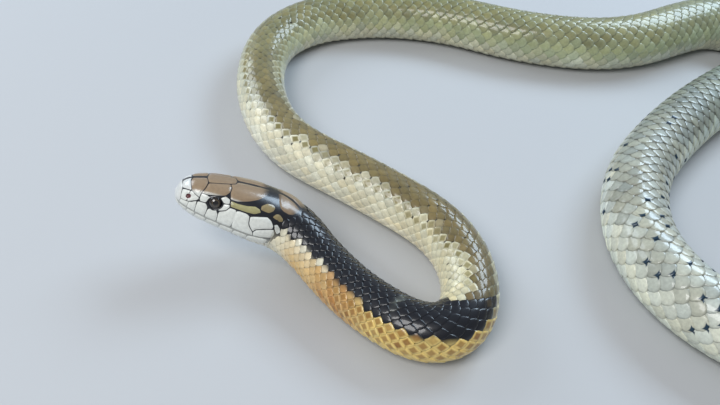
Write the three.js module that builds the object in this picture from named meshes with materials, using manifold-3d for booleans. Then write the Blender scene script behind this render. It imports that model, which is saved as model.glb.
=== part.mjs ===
// King cobra lying on the floor, life size, in millimetres, +Z up.
// One surface runs from the snout to the tip of the tail: a centreline laid out as a chain of bends,
// with a cross-section at every distance from the snout. Each sub-part is a stretch of that surface.

import * as THREE from 'three';
import { mergeVertices } from 'three/addons/utils/BufferGeometryUtils.js';
import Module from 'manifold-3d';

const wasm = await Module();
wasm.setup();

// Gap between neighbouring pieces
const GAP = 0.3;

// Place and carriage of the head
const SNOUT_X = -404.57;
const SNOUT_Y = -280.71;
const SNOUT_HEADING = 3.1;
const HEAD_LENGTH = 77;
const HEAD_PITCH = 21.9;
const HEAD_ROLL = 19.4;
const HEAD_AXIS_HEIGHT = 21;
const NECK_PITCH = 13;
const NECK_PITCH_AT = 112;
const NECK_LANDS_AT = 183;
const ROLL_ENDS_AT = 187;

// The lie of the body from the snout back: length of each bend and how far it turns, left positive
const BENDS = [
  { name: 'head', length: HEAD_LENGTH, turn: 0 },
  { name: 'nape', length: 24, turn: -49 },
  { name: 'front of the neck', length: 48, turn: 0 },
  { name: 'into the hairpin', length: 76, turn: 19 },
  { name: 'hairpin', length: 46, turn: 101 },
  { name: 'out of the hairpin', length: 115, turn: 70 },
  { name: 'forebody', length: 111, turn: 7 },
  { name: 'forebody eases right', length: 72, turn: -34 },
  { name: 'left turn, first half', length: 116, turn: -32 },
  { name: 'left turn, second half', length: 102, turn: -58 },
  { name: 'left turn ends', length: 57, turn: -16 },
  { name: 'back stretch bows', length: 126, turn: -31 },
  { name: 'back stretch straightens', length: 107, turn: 20 },
  { name: 'back stretch rises', length: 106, turn: 35 },
  { name: 'into the right loop', length: 64, turn: -6 },
  { name: 'right loop', length: 138, turn: -162 },
  { name: 'out of the right loop', length: 77, turn: -7 },
  { name: 'right limb', length: 178, turn: 16 },
  { name: 'right limb curls', length: 97, turn: 31 },
  { name: 'right limb swings out', length: 129, turn: 63 },
  { name: 'front sweep', length: 150, turn: 30 },
  { name: 'right sweep', length: 230, turn: 70 },
  { name: 'right side', length: 240, turn: 28 },
  { name: 'right side straightens', length: 240, turn: -20 },
  { name: 'back corner', length: 210, turn: 86 },
  { name: 'tail, first bend', length: 260, turn: 50 },
  { name: 'tail, second bend', length: 180, turn: -28 },
  { name: 'tail tip', length: 156, turn: 34 },
];
const BEND_BLEND = 40;
const PITCH_BLEND = 30;

// Cross-sections of the head: distance from the snout, half width, then the heights of the crown, of the
// widest level and of the throat from the head's axis, and how square the upper and lower halves are
const HEAD_SECTIONS = [
  { at: 0, half: 3.0, crown: 0.5, waist: -3.0, throat: -6.5, upper: 2.0, lower: 2.0 },
  { at: 1.2, half: 7.6, crown: 4.5, waist: -3.0, throat: -9.2, upper: 2.0, lower: 2.0 },
  { at: 4, half: 11.4, crown: 8.4, waist: -2.8, throat: -12.2, upper: 2.2, lower: 2.0 },
  { at: 8, half: 14.4, crown: 11.2, waist: -2.2, throat: -14.6, upper: 2.4, lower: 2.0 },
  { at: 13, half: 16.6, crown: 13.4, waist: -1.6, throat: -16.4, upper: 2.6, lower: 2.1 },
  { at: 21, half: 18.9, crown: 16.0, waist: -1.2, throat: -18.0, upper: 2.7, lower: 2.2 },
  { at: 31, half: 21.0, crown: 18.2, waist: -1.0, throat: -19.2, upper: 2.6, lower: 2.2 },
  { at: 45, half: 23.6, crown: 20.6, waist: -0.8, throat: -20.4, upper: 2.5, lower: 2.2 },
  { at: 59, half: 25.6, crown: 22.0, waist: -0.6, throat: -21.8, upper: 2.35, lower: 2.2 },
  { at: 69, half: 26.0, crown: 22.4, waist: -0.4, throat: -22.8, upper: 2.2, lower: 2.1 },
  { at: 81, half: 24.6, crown: 22.2, waist: -0.2, throat: -23.6, upper: 2.1, lower: 2.0 },
  { at: 97, half: 22.2, crown: 21.4, waist: 0, throat: -22.6, upper: 2.0, lower: 2.0 },
  { at: 122, half: 20.4, crown: 20.4, waist: 0, throat: -20.4, upper: 2.0, lower: 2.0 },
];

// Radius of the body along its length; the flattened belly takes off a little of the height
const GIRTH = [
  { at: 122, radius: 20.4 },
  { at: 276, radius: 22.3 },
  { at: 456, radius: 23.5 },
  { at: 626, radius: 23.8 },
  { at: 826, radius: 26.5 },
  { at: 1076, radius: 28.7 },
  { at: 1276, radius: 30 },
  { at: 1476, radius: 28.5 },
  { at: 1876, radius: 28.2 },
  { at: 2150, radius: 28 },
  { at: 2450, radius: 26 },
  { at: 2700, radius: 22.5 },
  { at: 2780, radius: 20.5 },
  { at: 2840, radius: 18 },
  { at: 3000, radius: 14.5 },
  { at: 3250, radius: 8.6 },
  { at: 3450, radius: 4 },
  { at: 3510, radius: 2.3 },
  { at: 3532, radius: 1.2 },
];
const BELLY_SINK = 0.93;

// Where the body is parted, as distances from the snout
const NECK_END = 170;
const BODY_CUTS = [250, 340, 520, 680, 800, 1000, 1180, 1310, 1440, 1640, 1860, 2060, 2260, 2500, 2780];
const TAIL_CUTS = [2960, 3140, 3340, 3532];

// Fineness of the solids
const HEAD_SIDES = 28;
const HEAD_RINGS = 19;
const HEAD_RING_CROWDING = 1.4;
const BACK_SIDES = 10;
const RING_STEP = 26;
const NECK_RING_STEP = 10;
const RING_TURN = 14;
const EYE_SIDES = [16, 11];
const EYE_RIM_SIDES = [6, 16];
const NOSTRIL_SIDES = [10, 8];

// Belly plates: each is raised at its free rear edge, and its outer border stands on the flank
const PLATE_EDGE = 54;
const PLATE_BORDER = 3;
const PLATE_RISE = 0.9;
const PLATES_START = 100;
const PLATES_FULL = 150;

// Eyes and nostrils, placed by distance from the snout and angle round from the throat
const EYE_AT = 29;
const EYE_ANGLE = 105;
const EYE_RADIUS = 5.4;
const EYE_DEPTH = 3.7;
const EYE_RIM_RADIUS = 4.7;
const EYE_RIM_THICKNESS = 0.8;
const EYE_RIM_DEPTH = 0.5;
const NOSTRIL_AT = 9;
const NOSTRIL_ANGLE = 101;
const NOSTRIL_RADII = [2.2, 1.5, 1.9];
const NOSTRIL_OUTWARD = 0.3;

// The mouth line, as distance from the snout and height from the head's axis
const MOUTH_LINE = [
  [-2, -7.2], [4, -7.4], [14, -8.6], [27, -9.6], [42, -9.8], [56, -9.4], [66, -9.6], [73, -9.8],
];
const JAW_REACH = 40;

// Swellings and hollows of the head: brow, socket, side of the snout, cheek and the dip along the crown
const HEAD_FORMS = [
  { at: 28, angle: 124, length: 7, width: 6.5, rise: 0.9 },
  { at: 29, angle: 104, length: 6, width: 10, rise: -0.7 },
  { at: 15, angle: 104, length: 4.5, width: 9, rise: -0.6 },
  { at: 56, angle: 92, length: 13, width: 20, rise: 0.7 },
  { at: 50, angle: 180, length: 22, width: 7, rise: -0.35 },
];

// Shields of the left side, as corners by distance from the snout and angle round from the throat
const SHIELD_RISE = 0.42;
const SEAM_SINK = 0.25;
const SEAM_HALF = 0.42;
const SHARPEST_CORNER = 2.5;
const SHIELD_REACH = 2.5;
const SHIELD_STEP = 8;
const SIDE_SHIELDS = {
  internasal: [[2.4, 178.5], [8, 178.5], [8, 143], [10.3, 120], [4, 122]],
  nasal: [[4, 122], [10.3, 120], [17, 103], [16, 96], [9, 87], [5, 86]],
  prefrontal: [[8, 178.5], [18.5, 178.5], [20, 158], [17, 119], [17, 103], [10.3, 120], [8, 143]],
  preocular: [[17, 103], [17, 119], [24, 114], [23, 97], [16, 96]],
  supraocular: [[17, 119], [20, 158], [36, 167], [37.3, 147], [36, 134], [31, 123], [24, 117]],
  parietal: [
    [41, 178.5], [36, 167], [37.3, 147], [38.5, 123], [51, 131], [59, 142], [66, 168], [66.5, 178.5],
  ],
  postocular: [[33, 124], [36.5, 133], [38.5, 122], [40, 106], [38, 97], [33.5, 93]],
  temporal: [[39, 120], [57.5, 128], [64, 117], [57, 105.5], [40, 106]],
  rear_temporal: [[57, 92], [57, 105], [69, 115], [75, 102], [75, 95], [62.5, 80]],
};
const MIDDLE_SHIELDS = {
  frontal: [[18.5, 180], [20, 158], [36, 167], [41, 180]],
  chin: [[13, 0], [11.5, 30], [26, 30], [25, 0]],
  rear_chin: [[26, 0], [27, 28], [40, 22], [42, 0]],
};
const UPPER_LIP_SEAMS = [4.5, 10.5, 17, 25, 34, 46, 57, 62.5, 76];
const UPPER_LIP_TOP = [
  [4, 86], [9, 87], [16, 96], [23, 97], [27, 91], [33.5, 92], [38, 97], [40, 106], [57, 105], [57.1, 92],
  [62.5, 80], [75, 95],
];
const LOWER_LIP_SEAMS = [4.5, 14, 26, 38, 50, 62, 74];
const LOWER_LIP_EDGE = [[4, 44], [14, 33], [38, 34], [62, 46], [74, 50]];
const LIP_TO_MOUTH = 0.7;
const CHIN_ANGLE = 30;
const JUST_BEHIND = 0.2;

// Plain colours and shine of the solids
const HEAD_COLOUR = 0xb9b2a2;
const JAW_COLOUR = 0xe2dfd3;
const EYE_COLOUR = 0x15110d;
const MANTLE_COLOUR = 0x1c1f24;
const BODY_COLOUR = 0x8d8a66;
const TAIL_COLOUR = 0x6f7160;
const SKIN_ROUGHNESS = 0.42;
const EYE_ROUGHNESS = 0.08;
const MANTLED_LENGTHS = 2;

const rad = THREE.MathUtils.degToRad;
const lerp = THREE.MathUtils.lerp;

// Smooth curve through a list of [x, value] pairs that never overshoots them
function smoothCurve(pairs) {
  const slope = [];
  for (let i = 0; i < pairs.length - 1; i++) {
    slope.push((pairs[i + 1][1] - pairs[i][1]) / (pairs[i + 1][0] - pairs[i][0]));
  }
  const tangent = pairs.map((pair, i) => {
    const before = slope[i - 1] ?? slope[i];
    const after = slope[i] ?? slope[i - 1];
    return before * after > 0 ? 2 * before * after / (before + after) : 0;
  });
  return (x) => {
    const last = pairs.length - 2;
    let i = 0;
    while (i < last && x >= pairs[i + 1][0]) i++;
    const width = pairs[i + 1][0] - pairs[i][0];
    const t = THREE.MathUtils.clamp((x - pairs[i][0]) / width, 0, 1);
    const rise = t * t * (3 - 2 * t);
    const leave = t * (1 - t) * (1 - t) * width * tangent[i];
    const arrive = t * t * (t - 1) * width * tangent[i + 1];
    return lerp(pairs[i][1], pairs[i + 1][1], rise) + leave + arrive;
  };
}

// Straight lines through a list of [x, value] pairs
function brokenLine(pairs, x) {
  let i = 0;
  while (i < pairs.length - 2 && x >= pairs[i + 1][0]) i++;
  const t = (x - pairs[i][0]) / (pairs[i + 1][0] - pairs[i][0]);
  return lerp(pairs[i][1], pairs[i + 1][1], THREE.MathUtils.clamp(t, 0, 1));
}

// Average of a function over a window that opens up behind the rigid head
function blended(value, at, window) {
  const open = THREE.MathUtils.clamp((2 * (at - HEAD_LENGTH)) / window, 0, 1) * window;
  const SAMPLES = 9;
  let sum = 0;
  for (let i = 0; i < SAMPLES; i++) {
    sum += value(at + (i / (SAMPLES - 1) - 0.5) * open);
  }
  return sum / SAMPLES;
}

// Centreline
const headingPairs = [[0, SNOUT_HEADING]];
for (const bend of BENDS) {
  const [at, heading] = headingPairs.at(-1);
  headingPairs.push([at + bend.length, heading + bend.turn]);
}
const TOTAL_LENGTH = headingPairs.at(-1)[0];
const pitchPairs = [
  [0, HEAD_PITCH],
  [HEAD_LENGTH, HEAD_PITCH],
  [NECK_PITCH_AT, NECK_PITCH],
  [NECK_LANDS_AT, 0],
  [TOTAL_LENGTH, 0],
];
const headingAt = (at) => blended((x) => brokenLine(headingPairs, x), at, BEND_BLEND);
const pitchAt = (at) => blended((x) => brokenLine(pitchPairs, x), at, PITCH_BLEND);

const SPINE_STEP = 1;
const spine = [{ x: SNOUT_X, y: SNOUT_Y, drop: 0 }];
for (let at = 0; at < TOTAL_LENGTH; at += SPINE_STEP) {
  const heading = rad(headingAt(at + SPINE_STEP / 2));
  const pitch = rad(pitchAt(at + SPINE_STEP / 2));
  const last = spine.at(-1);
  spine.push({
    x: last.x + SPINE_STEP * Math.cos(heading) * Math.cos(pitch),
    y: last.y + SPINE_STEP * Math.sin(heading) * Math.cos(pitch),
    drop: last.drop + SPINE_STEP * Math.sin(pitch),
  });
}

function spineAt(at) {
  const i = THREE.MathUtils.clamp(Math.floor(at / SPINE_STEP), 0, spine.length - 2);
  const t = at / SPINE_STEP - i;
  return {
    x: lerp(spine[i].x, spine[i + 1].x, t),
    y: lerp(spine[i].y, spine[i + 1].y, t),
    lift: spine.at(-1).drop - lerp(spine[i].drop, spine[i + 1].drop, t),
  };
}

// Cross-section at a distance from the snout
const sectionCurve = (key) => smoothCurve(HEAD_SECTIONS.map((section) => [section.at, section[key]]));
const headCurves = {};
for (const key of ['half', 'crown', 'waist', 'throat', 'upper', 'lower']) {
  headCurves[key] = sectionCurve(key);
}
const HEAD_SECTIONS_END = HEAD_SECTIONS.at(-1).at;
const radiusAt = smoothCurve(GIRTH.map((ring) => [ring.at, ring.radius]));

function sectionAt(at) {
  if (at >= HEAD_SECTIONS_END) {
    const radius = radiusAt(at);
    return {
      half: radius, crown: radius, waist: 0, throat: -radius, upper: 2, lower: 2,
      floor: -BELLY_SINK * radius, axis: BELLY_SINK * radius,
    };
  }
  const section = { floor: -Infinity };
  for (const key in headCurves) {
    section[key] = headCurves[key](at);
  }
  const blend = THREE.MathUtils.clamp((at - HEAD_LENGTH) / (HEAD_SECTIONS_END - HEAD_LENGTH), 0, 1);
  section.axis = lerp(HEAD_AXIS_HEIGHT, BELLY_SINK * radiusAt(HEAD_SECTIONS_END), blend);
  section.floor = lerp(section.throat, -BELLY_SINK * radiusAt(HEAD_SECTIONS_END), blend);
  return section;
}

// A point of the section, as distance to the animal's right and height from the axis
function sectionPoint(at, angle) {
  const section = sectionAt(at);
  const side = Math.sin(rad(angle));
  const up = -Math.cos(rad(angle));
  const power = 2 / (up > 0 ? section.upper : section.lower);
  const reach = up > 0 ? section.crown - section.waist : section.waist - section.throat;
  const right = -Math.sign(side) * section.half * Math.abs(side) ** power;
  const height = section.waist + Math.sign(up) * reach * Math.abs(up) ** power;
  return new THREE.Vector2(right, Math.max(height, section.floor));
}

// The frame of the section: origin on the axis, X back along the body, Y to the animal's right, Z up
function frameAt(at) {
  const { x, y, lift } = spineAt(at);
  const heading = rad(headingAt(at));
  const pitch = rad(pitchAt(at));
  const settle = THREE.MathUtils.smoothstep(at, HEAD_LENGTH, ROLL_ENDS_AT);
  const back = new THREE.Vector3(
    Math.cos(pitch) * Math.cos(heading),
    Math.cos(pitch) * Math.sin(heading),
    -Math.sin(pitch),
  );
  const right = new THREE.Vector3(-Math.sin(heading), Math.cos(heading), 0);
  const up = new THREE.Vector3().crossVectors(back, right);
  const roll = rad(HEAD_ROLL) * (1 - settle);
  right.applyAxisAngle(back, -roll);
  up.applyAxisAngle(back, -roll);
  return new THREE.Matrix4()
    .makeBasis(back, right, up)
    .setPosition(x, y, lift + sectionAt(at).axis);
}

// A point of the surface in the floor's frame, raised by a height where it isn't on the floor
function surfacePoint(at, angle, height = 0) {
  const point = sectionPoint(at, angle);
  point.setLength(point.length() + height);
  point.y = Math.max(point.y, sectionAt(at).floor);
  return new THREE.Vector3(0, point.x, point.y).applyMatrix4(frameAt(at));
}

// A point of the surface in the head's own frame, whose origin is the snout end of the axis
function headPoint(at, angle) {
  const point = sectionPoint(at, angle);
  return new THREE.Vector3(at, point.x, point.y);
}

function headNormal(at, angle) {
  const STEP = 0.4;
  const along = headPoint(at + STEP, angle).sub(headPoint(at - STEP, angle));
  const around = headPoint(at, angle + STEP).sub(headPoint(at, angle - STEP));
  const normal = along.cross(around).normalize();
  const outward = headPoint(at, angle).setX(0);
  return normal.dot(outward) < 0 ? normal.negate() : normal;
}

// The swelling of the head's forms at a place
function headForm(at, angle) {
  const side = Math.abs(THREE.MathUtils.euclideanModulo(angle + 180, 360) - 180);
  let total = 0;
  for (const form of HEAD_FORMS) {
    const away = ((at - form.at) / form.length) ** 2 + ((side - form.angle) / form.width) ** 2;
    total += form.rise * Math.exp(-away);
  }
  return total;
}

// A point of the head raised by a height over the seams between its shields
function raisedHeadPoint(at, angle, height) {
  const lift = height - SEAM_SINK + headForm(at, angle);
  return headPoint(at, angle).addScaledVector(headNormal(at, angle), lift);
}

// Bare closed geometry with shared corners, less the faces that have shrunk to a line
function bare(geometry) {
  geometry.deleteAttribute('normal');
  geometry.deleteAttribute('uv');
  const merged = mergeVertices(geometry);
  const index = merged.index.array;
  const kept = [];
  for (let i = 0; i < index.length; i += 3) {
    const [a, b, c] = index.slice(i, i + 3);
    if (a !== b && b !== c && c !== a) kept.push(a, b, c);
  }
  merged.setIndex(kept);
  return merged;
}

// A tube shaped from a capped cylinder: one ring at each station, one corner at each angle
function loft(stations, angles, place) {
  const rings = stations.length - 1;
  const geometry = bare(new THREE.CylinderGeometry(1, 1, 1, angles.length, rings));
  const position = geometry.attributes.position;
  const corner = new THREE.Vector3();
  for (let i = 0; i < position.count; i++) {
    corner.fromBufferAttribute(position, i);
    const station = stations[Math.round((0.5 - corner.y) * rings)];
    if (Math.hypot(corner.x, corner.z) < 0.5) {
      corner.set(0, 0, 0);
      angles.forEach((angle) => corner.addScaledVector(place(station, angle), 1 / angles.length));
    } else {
      const turn = (Math.atan2(corner.x, corner.z) / (2 * Math.PI) + 1) % 1;
      corner.copy(place(station, angles[Math.round(turn * angles.length) % angles.length]));
    }
    position.setXYZ(i, corner.x, corner.y, corner.z);
  }
  return bare(geometry);
}

// Angles round the body: the edge of the flat under the belly, the belly plate, then the flank and back
const FLAT_EDGE = THREE.MathUtils.radToDeg(Math.acos(BELLY_SINK));
const PLATE_MIDDLE = (FLAT_EDGE + PLATE_EDGE) / 2;
const BACK_EDGE = PLATE_EDGE + PLATE_BORDER;
const bodyAngles = [FLAT_EDGE, PLATE_MIDDLE, PLATE_EDGE];
for (let i = 0; i <= BACK_SIDES; i++) {
  bodyAngles.push(BACK_EDGE + (i * (360 - 2 * BACK_EDGE)) / BACK_SIDES);
}
bodyAngles.push(360 - PLATE_EDGE, 360 - PLATE_MIDDLE, 360 - FLAT_EDGE);

// How far the rear edge of a belly plate stands out at an angle
function plateRise(at, angle) {
  const side = Math.min(angle, 360 - angle);
  const grown = THREE.MathUtils.smoothstep(at, PLATES_START, PLATES_FULL);
  const onPlate = side > PLATE_EDGE ? 0 : (side - FLAT_EDGE) / (PLATE_EDGE - FLAT_EDGE);
  return PLATE_RISE * grown * onPlate;
}

// Stations of a length of the body, closer together where it bends and on the neck
function bodyStations(from, to) {
  const turned = Math.abs(headingAt(to) - headingAt(from));
  const step = from < NECK_END ? NECK_RING_STEP : RING_STEP;
  const count = Math.max(Math.ceil((to - from) / step), Math.ceil(turned / RING_TURN), 2);
  const stations = [];
  for (let i = 0; i <= count; i++) {
    stations.push(lerp(from, to, i / count));
  }
  return stations;
}

// Each station ends one belly plate, whose edge is raised, and starts the next, which lies flat
function bodyLength(from, to) {
  const stations = bodyStations(from + GAP / 2, to - GAP / 2);
  const rings = stations.flatMap((at) => [{ at, raised: 1 }, { at, raised: 0 }]).slice(1, -1);
  return loft(rings, bodyAngles, ({ at, raised }, angle) => {
    return surfacePoint(at, angle, raised * plateRise(at, angle));
  });
}

// Conversion to and from a solid that can be cut and joined
function solid(geometry) {
  const merged = bare(geometry);
  const mesh = new wasm.Mesh({
    numProp: 3,
    vertProperties: new Float32Array(merged.attributes.position.array),
    triVerts: new Uint32Array(merged.index.array),
  });
  return new wasm.Manifold(mesh);
}

function largestPiece(body) {
  const pieces = body.decompose();
  pieces.sort((a, b) => b.volume() - a.volume());
  return pieces[0];
}

function geometryOf(body) {
  const mesh = largestPiece(body).getMesh();
  const geometry = new THREE.BufferGeometry();
  geometry.setAttribute('position', new THREE.BufferAttribute(mesh.vertProperties, 3));
  geometry.setIndex(new THREE.BufferAttribute(mesh.triVerts, 1));
  return geometry;
}

// Head
const headAngles = [];
for (let i = 0; i < HEAD_SIDES; i++) {
  headAngles.push((360 * i) / HEAD_SIDES);
}
const headStations = [];
for (let i = 0; i <= HEAD_RINGS; i++) {
  headStations.push((HEAD_LENGTH - GAP / 2) * (i / HEAD_RINGS) ** HEAD_RING_CROWDING);
}

// Place something on the side of the head, its Z along the outward normal
function onHead(geometry, at, angle, outward) {
  const normal = headNormal(at, angle);
  const place = new THREE.Matrix4().makeRotationFromQuaternion(
    new THREE.Quaternion().setFromUnitVectors(new THREE.Vector3(0, 0, 1), normal),
  );
  place.setPosition(headPoint(at, angle).addScaledVector(normal, outward));
  return geometry.applyMatrix4(place);
}

function eyeball(side, radius) {
  return onHead(new THREE.SphereGeometry(radius, ...EYE_SIDES), EYE_AT, side * EYE_ANGLE, -EYE_DEPTH);
}

function eyeRim(side) {
  const ring = new THREE.TorusGeometry(EYE_RIM_RADIUS, EYE_RIM_THICKNESS, ...EYE_RIM_SIDES);
  return onHead(ring, EYE_AT, side * EYE_ANGLE, -EYE_RIM_DEPTH);
}

function nostril(side) {
  const pit = new THREE.SphereGeometry(1, ...NOSTRIL_SIDES).scale(...NOSTRIL_RADII);
  return onHead(pit, NOSTRIL_AT, side * NOSTRIL_ANGLE, NOSTRIL_OUTWARD);
}

// Everything below the mouth line, as a block across the head
function belowMouth(shift) {
  const outline = new THREE.Shape();
  const [first, ...rest] = MOUTH_LINE;
  outline.moveTo(first[0], first[1] + shift);
  rest.forEach(([at, height]) => outline.lineTo(at + shift, height + shift));
  outline.lineTo(MOUTH_LINE.at(-1)[0] + shift, -JAW_REACH);
  outline.lineTo(first[0], -JAW_REACH);
  const block = new THREE.ExtrudeGeometry(outline, { depth: 2 * JAW_REACH, bevelEnabled: false });
  return block.translate(0, 0, -JAW_REACH).rotateX(Math.PI / 2);
}

// Angle of the mouth line at a distance from the snout, looked for up the side of the head
function mouthAngle(at) {
  const height = brokenLine(MOUTH_LINE, at);
  let angle = CHIN_ANGLE;
  while (angle < EYE_ANGLE && headPoint(at, angle).z < height) angle++;
  return angle;
}

// Upper and lower lip shields between one seam and the next
function lipShields(seams, edge, toMouth) {
  return seams.slice(1).map((to, i) => {
    const from = seams[i];
    const middle = (from + to) / 2;
    const mouth = (at) => [at, mouthAngle(at) + toMouth];
    const outer = (at) => [at, brokenLine(edge, at)];
    return [outer(from + JUST_BEHIND), outer(middle), outer(to), mouth(to), mouth(middle), mouth(from)];
  });
}

// Millimetres of surface to one degree round the head
function perDegree(at) {
  const { half, crown, throat } = sectionAt(at);
  return rad(1) * (2 * half + crown - throat) / 4;
}

// A block that stands through the surface on a shield's outline, drawn in from the middle of its seams
function shieldBlock(corners) {
  const outline = corners.map(([at, angle]) => new THREE.Vector2(at, angle * perDegree(at)));
  if (!THREE.ShapeUtils.isClockWise(outline)) outline.reverse();
  const inward = outline.map((corner, i) => {
    const along = outline[(i + 1) % outline.length].clone().sub(corner).normalize();
    return new THREE.Vector2(along.y, -along.x);
  });
  const drawnIn = outline.map((corner, i) => {
    const shift = inward[i].clone().add(inward.at(i - 1));
    const stretch = Math.min(2 / shift.lengthSq(), SHARPEST_CORNER);
    return corner.clone().addScaledVector(shift, SEAM_HALF * stretch);
  });
  const ring = [];
  drawnIn.forEach((corner, i) => {
    const next = drawnIn[(i + 1) % drawnIn.length];
    const pieces = Math.ceil(corner.distanceTo(next) / SHIELD_STEP);
    for (let k = 0; k < pieces; k++) ring.push(corner.clone().lerp(next, k / pieces));
  });
  return loft([-SHIELD_REACH, SHIELD_REACH], ring, (height, place) => {
    return raisedHeadPoint(place.x, place.y / perDegree(place.x), height);
  });
}

const mirrored = (corners) => corners.map(([at, angle]) => [at, -angle]);
const sideShields = [
  ...Object.values(SIDE_SHIELDS),
  ...lipShields(UPPER_LIP_SEAMS, UPPER_LIP_TOP, LIP_TO_MOUTH),
  ...lipShields(LOWER_LIP_SEAMS, LOWER_LIP_EDGE, -LIP_TO_MOUTH),
];
const middleShields = Object.values(MIDDLE_SHIELDS).map((corners) => {
  const onCrown = corners[0][1] === 180;
  const across = ([at, angle]) => [at, onCrown ? 360 - angle : -angle];
  return [...corners, ...corners.slice(1, -1).reverse().map(across)];
});
const shields = [...sideShields, ...sideShields.map(mirrored), ...middleShields];

const SIDES = { left: 1, right: -1 };
const headAt = (height) => (at, angle) => raisedHeadPoint(at, angle, height);
const shieldLevel = solid(loft(headStations, headAngles, headAt(SHIELD_RISE)));
const blocks = wasm.Manifold.union(shields.map((corners) => solid(shieldBlock(corners))));
let wholeHead = solid(loft(headStations, headAngles, headAt(0))).add(shieldLevel.intersect(blocks));
for (const side of Object.values(SIDES)) {
  wholeHead = wholeHead.add(solid(eyeRim(side)));
  wholeHead = wholeHead.subtract(solid(eyeball(side, EYE_RADIUS + GAP)));
  wholeHead = wholeHead.subtract(solid(nostril(side)));
}
const upperHead = wholeHead.subtract(solid(belowMouth(GAP / 2)));
const lowerJaw = wholeHead.intersect(solid(belowMouth(-GAP / 2)));

// Assembly
const finish = (color, roughness) => new THREE.MeshStandardMaterial({ color, roughness, metalness: 0 });
const skin = (color) => finish(color, SKIN_ROUGHNESS);
const cobra = new THREE.Group();
const headGroup = new THREE.Group();
headGroup.applyMatrix4(frameAt(0));
cobra.add(headGroup);

function addPiece(parent, name, geometry, material) {
  const mesh = new THREE.Mesh(geometry, material);
  mesh.name = name;
  parent.add(mesh);
}

addPiece(headGroup, 'head', geometryOf(upperHead), skin(HEAD_COLOUR));
addPiece(headGroup, 'lower_jaw', geometryOf(lowerJaw), skin(JAW_COLOUR));
for (const [name, side] of Object.entries(SIDES)) {
  addPiece(headGroup, `eye_${name}`, bare(eyeball(side, EYE_RADIUS)), finish(EYE_COLOUR, EYE_ROUGHNESS));
}
addPiece(cobra, 'neck', bodyLength(HEAD_LENGTH, NECK_END), skin(MANTLE_COLOUR));

let from = NECK_END;
BODY_CUTS.forEach((to, i) => {
  const colour = i < MANTLED_LENGTHS ? MANTLE_COLOUR : BODY_COLOUR;
  addPiece(cobra, `body_${i + 1}`, bodyLength(from, to), skin(colour));
  from = to;
});
TAIL_CUTS.forEach((to, i) => {
  addPiece(cobra, `tail_${i + 1}`, bodyLength(from, to), skin(TAIL_COLOUR));
  from = to;
});

export default cobra;
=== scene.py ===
# %% [markdown]
# # A king cobra at life size, dressed for a museum shelf
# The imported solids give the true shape, size and lie of the animal. This lesson covers them with one
# unbroken skin, a coat of overlapping scales, belly plates and a pair of wet eyes, and lights the result
# softly. Everything is in metres in the frame of the solids. The animal is described by two numbers on its
# surface: how far back from the snout a place is, and how far round from the middle of the belly.

# %% Load the solids as a fixed frame
import math

import bmesh
import bpy
import numpy as np
from mathutils import Matrix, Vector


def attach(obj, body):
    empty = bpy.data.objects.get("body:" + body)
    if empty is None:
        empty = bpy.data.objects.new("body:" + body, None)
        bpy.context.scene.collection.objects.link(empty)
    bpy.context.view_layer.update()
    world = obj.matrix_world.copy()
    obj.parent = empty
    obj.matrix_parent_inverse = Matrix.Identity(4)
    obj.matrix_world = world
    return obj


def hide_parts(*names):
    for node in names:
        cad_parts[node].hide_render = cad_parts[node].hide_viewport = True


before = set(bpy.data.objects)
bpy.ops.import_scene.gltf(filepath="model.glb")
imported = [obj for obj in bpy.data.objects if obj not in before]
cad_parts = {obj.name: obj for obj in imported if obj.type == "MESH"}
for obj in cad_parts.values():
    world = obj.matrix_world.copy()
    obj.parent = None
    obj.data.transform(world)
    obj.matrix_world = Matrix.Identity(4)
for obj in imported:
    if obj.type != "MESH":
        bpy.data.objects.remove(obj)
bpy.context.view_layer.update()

MM = 0.001
print("solids loaded:", len(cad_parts))

# %% [markdown]
# ## The line of the body
# A snake is a tube bent many times, so its lie is told as a chain of bends from the snout back: how long
# each stretch is and how far it turns. These are the same bends that shaped the solids. The heading is
# averaged over a short window, so that one bend flows into the next, while the head itself stays straight.

# %% Bends, head carriage and girth, in millimetres and degrees
SNOUT = (-404.57, -280.71)
SNOUT_HEADING = 3.1
HEAD_LENGTH = 77
HEAD_PITCH = 21.9
HEAD_ROLL = 19.4
HEAD_AXIS_HEIGHT = 21
NECK_PITCH = 13
NECK_PITCH_AT = 112
NECK_LANDS_AT = 183
ROLL_ENDS_AT = 187
BEND_BLEND = 40
PITCH_BLEND = 30
BELLY_SINK = 0.93
BENDS = (
    (HEAD_LENGTH, 0), (24, -49), (48, 0), (76, 19), (46, 101), (115, 70), (111, 7),
    (72, -34), (116, -32), (102, -58), (57, -16), (126, -31), (107, 20), (106, 35),
    (64, -6), (138, -162), (77, -7), (178, 16), (97, 31), (129, 63),
    (150, 30), (230, 70), (240, 28), (240, -20), (210, 86), (260, 50), (180, -28), (156, 34),
)
TOTAL_LENGTH = sum(length for length, turn in BENDS)
VENT_AT = 2780
print("length along the back:", TOTAL_LENGTH, "mm")

# %% [markdown]
# ## Cross-sections
# The head is wider than it is high, with a flattened crown and a firm jaw, so each of its sections has its
# own width, heights and squareness. Behind the head a circle with a slightly flattened belly is enough, and
# only its radius changes: slim neck, full middle, and a tail that tapers to a point.

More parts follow.
